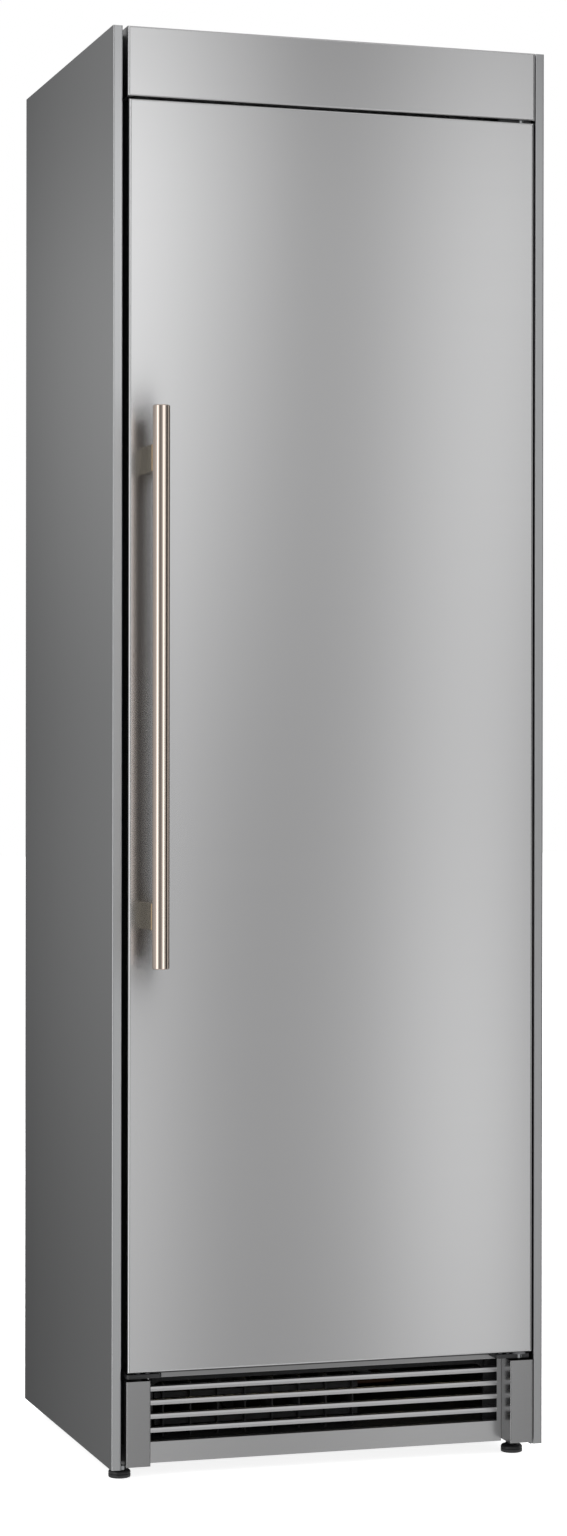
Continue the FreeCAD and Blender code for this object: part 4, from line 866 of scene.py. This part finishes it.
bpy.context.scene.view_settings.view_transform = "Standard"
flat_board("floor", FLOOR_HALF, floor_material()).visible_glossy = False
studio_world()
make_camera()
area_light("key", (-2.6, -3.4, 3.4), (0.0, 0.0, 1.0), size=2.4, power=60.0)
area_light("fill", (3.2, -2.6, 2.6), (0.0, 0.0, 1.0), size=2.4, power=40.0)
area_light("back_light", (0.5, 4.0, 3.0), (0.0, 0.3, 1.2), size=2.5, power=70.0)
area_light("top", (0.0, -0.6, 4.2), (0.0, 0.0, 1.0), size=3.0, power=60.0)

# ---------------------------------------------------------------- reflection cards
CARD_HALF = 0.5                   # half a card's side before it is scaled
CARD_STRENGTH = 2.0               # light is divided by this to stay under 1 in a ramp
CARD_HEIGHT = 3.8
CARD_MIDDLE = 1.2
LOW_SHARE = 0.38                  # heights between which the front card turns from low to high
HIGH_SHARE = 0.78


def dimmed(stops):
    """Stops whose light fits a ramp."""
    return [(share, light / CARD_STRENGTH) for share, light in stops]


def card_material(name, high_stops, low_stops, fade):
    """Light that follows the stops over a card's width and the fade over its height."""
    nodes = Nodes(name)
    across = nodes.map_range(nodes.axis(nodes.place, "X"), -CARD_HALF, CARD_HALF)
    up = nodes.map_range(nodes.axis(nodes.place, "Y"), -CARD_HALF, CARD_HALF)
    light = nodes.ramp(across, dimmed(high_stops))
    if low_stops:
        rise = nodes.map_range(up, LOW_SHARE, HIGH_SHARE)
        light = nodes.blend(rise, nodes.ramp(across, dimmed(low_stops)), light)
    if fade:
        light = nodes.blend(1.0, light, nodes.ramp(up, fade), "MULTIPLY")
    emission = nodes.tree.nodes.new("ShaderNodeEmission")
    emission.inputs["Strength"].default_value = CARD_STRENGTH
    nodes.link(light, emission.inputs["Color"])
    output = nodes.tree.nodes["Material Output"]
    nodes.link(emission.outputs["Emission"], output.inputs["Surface"])
    nodes.tree.nodes.remove(nodes.shader)
    return nodes.material


def reflection_card(name, place, width, height, facing, high_stops, low_stops=None, fade=None):
    """Board that only reflections see, for the steel's soft bands.

    The stops are (share of the width, light) at its top and at its bottom; fade is
    (share of the height, factor).
    """
    card = flat_board(name, CARD_HALF, card_material(name, high_stops, low_stops, fade))
    away = Vector(facing).normalized()
    up = Vector(UP)
    across = up.cross(away)
    turn = Matrix((across * width, up * height, away)).transposed()
    card.matrix_world = Matrix.Translation(place) @ turn.to_4x4()
    for flag in ("visible_camera", "visible_diffuse", "visible_shadow", "visible_transmission",
                 "visible_volume_scatter"):
        setattr(card, flag, False)
    return card


handle_low, handle_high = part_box("handle_bar")
handle_middle = (handle_low + handle_high) / 2


def bearing_card(name, bearing, distance, width, height, middle, stops):
    """Card that faces the handle from a bearing, in degrees from straight ahead of the door."""
    turn = math.radians(bearing)
    away = Vector((math.sin(turn), -math.cos(turn), 0.0))
    place = Vector((handle_middle.x, handle_middle.y, 0.0)) + away * distance
    place.z = middle
    return reflection_card(name, place, width, height, -away, stops)


def card_stops(pairs, low, width):
    """(place along X, light) pairs as shares of a card that starts at low."""
    return [((place - low) / width, light) for place, light in pairs]


def mirrored(stops):
    """Stops for a card that faces +Y, whose own X axis runs towards -X."""
    return [(1.0 - share, light) for share, light in reversed(stops)]


FRONT_LOW = -1.55
FRONT_WIDTH = 3.2
FRONT_Y = -1.6
FRONT_HIGH_STOPS = ((-1.55, 0.25), (-0.80, 0.22), (-0.45, 0.40), (-0.10, 1.50), (0.059, 1.39),
                    (0.168, 1.04), (0.267, 0.83), (0.384, 0.50), (0.502, 0.55), (0.62, 0.78),
                    (0.738, 1.00), (0.86, 1.06), (0.98, 0.60), (1.65, 0.4))
FRONT_LOW_STOPS = ((-1.55, 0.25), (-0.80, 0.22), (-0.45, 0.35), (-0.10, 0.80), (0.059, 0.70),
                   (0.168, 0.485), (0.267, 0.40), (0.384, 0.43), (0.502, 0.52), (0.62, 0.79),
                   (0.738, 0.94), (0.80, 0.97), (0.88, 0.42), (1.65, 0.3))
FRONT_FADE = ((0.0, 0.62), (0.12, 0.80), (0.20, 0.99), (0.29, 1.06), (0.39, 0.98), (0.49, 0.90),
              (0.58, 0.98), (0.68, 0.96), (0.785, 1.06), (0.81, 0.57), (1.0, 0.45))
reflection_card("front_card", (FRONT_LOW + FRONT_WIDTH / 2, FRONT_Y, CARD_MIDDLE), FRONT_WIDTH,
                CARD_HEIGHT, (0, 1, 0),
                mirrored(card_stops(FRONT_HIGH_STOPS, FRONT_LOW, FRONT_WIDTH)),
                mirrored(card_stops(FRONT_LOW_STOPS, FRONT_LOW, FRONT_WIDTH)), FRONT_FADE)

bearing_card("left_card", bearing=-64.0, distance=1.3, width=1.0, height=3.4, middle=1.3,
             stops=((0.0, 0.5), (0.22, 1.0), (0.34, 1.9), (0.66, 1.9), (0.78, 1.0), (1.0, 0.5)))
near_card = bearing_card("near_card", bearing=17.0, distance=0.10, width=0.036, height=0.86,
                         middle=1.169, stops=((0.0, 1.0), (0.3, 1.9), (0.7, 1.9), (1.0, 1.0)))
lit_by_near_card = bpy.data.collections.new("lit_by_near_card")
lit_by_near_card.objects.link(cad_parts["handle_bar"])
near_card.light_linking.receiver_collection = lit_by_near_card
bearing_card("right_dark_card", bearing=66.0, distance=1.6, width=0.9, height=3.4, middle=1.3,
             stops=((0.0, 0.08), (1.0, 0.05)))

SIDE_LOW = -1.3
SIDE_WIDTH = 1.25
SIDE_Y = 1.2
SIDE_STOPS = ((-1.3, 0.5), (-0.87, 0.66), (-0.72, 0.50), (-0.58, 0.20), (-0.50, 0.10),
              (-0.30, 0.08), (-0.05, 0.08))
SIDE_FADE = ((0.0, 0.40), (0.15, 0.46), (0.45, 0.72), (0.68, 1.08), (0.82, 0.72), (1.0, 0.6))
reflection_card("side_card", (SIDE_LOW + SIDE_WIDTH / 2, SIDE_Y, CARD_MIDDLE), SIDE_WIDTH,
                CARD_HEIGHT, (0, -1, 0), card_stops(SIDE_STOPS, SIDE_LOW, SIDE_WIDTH),
                fade=SIDE_FADE)
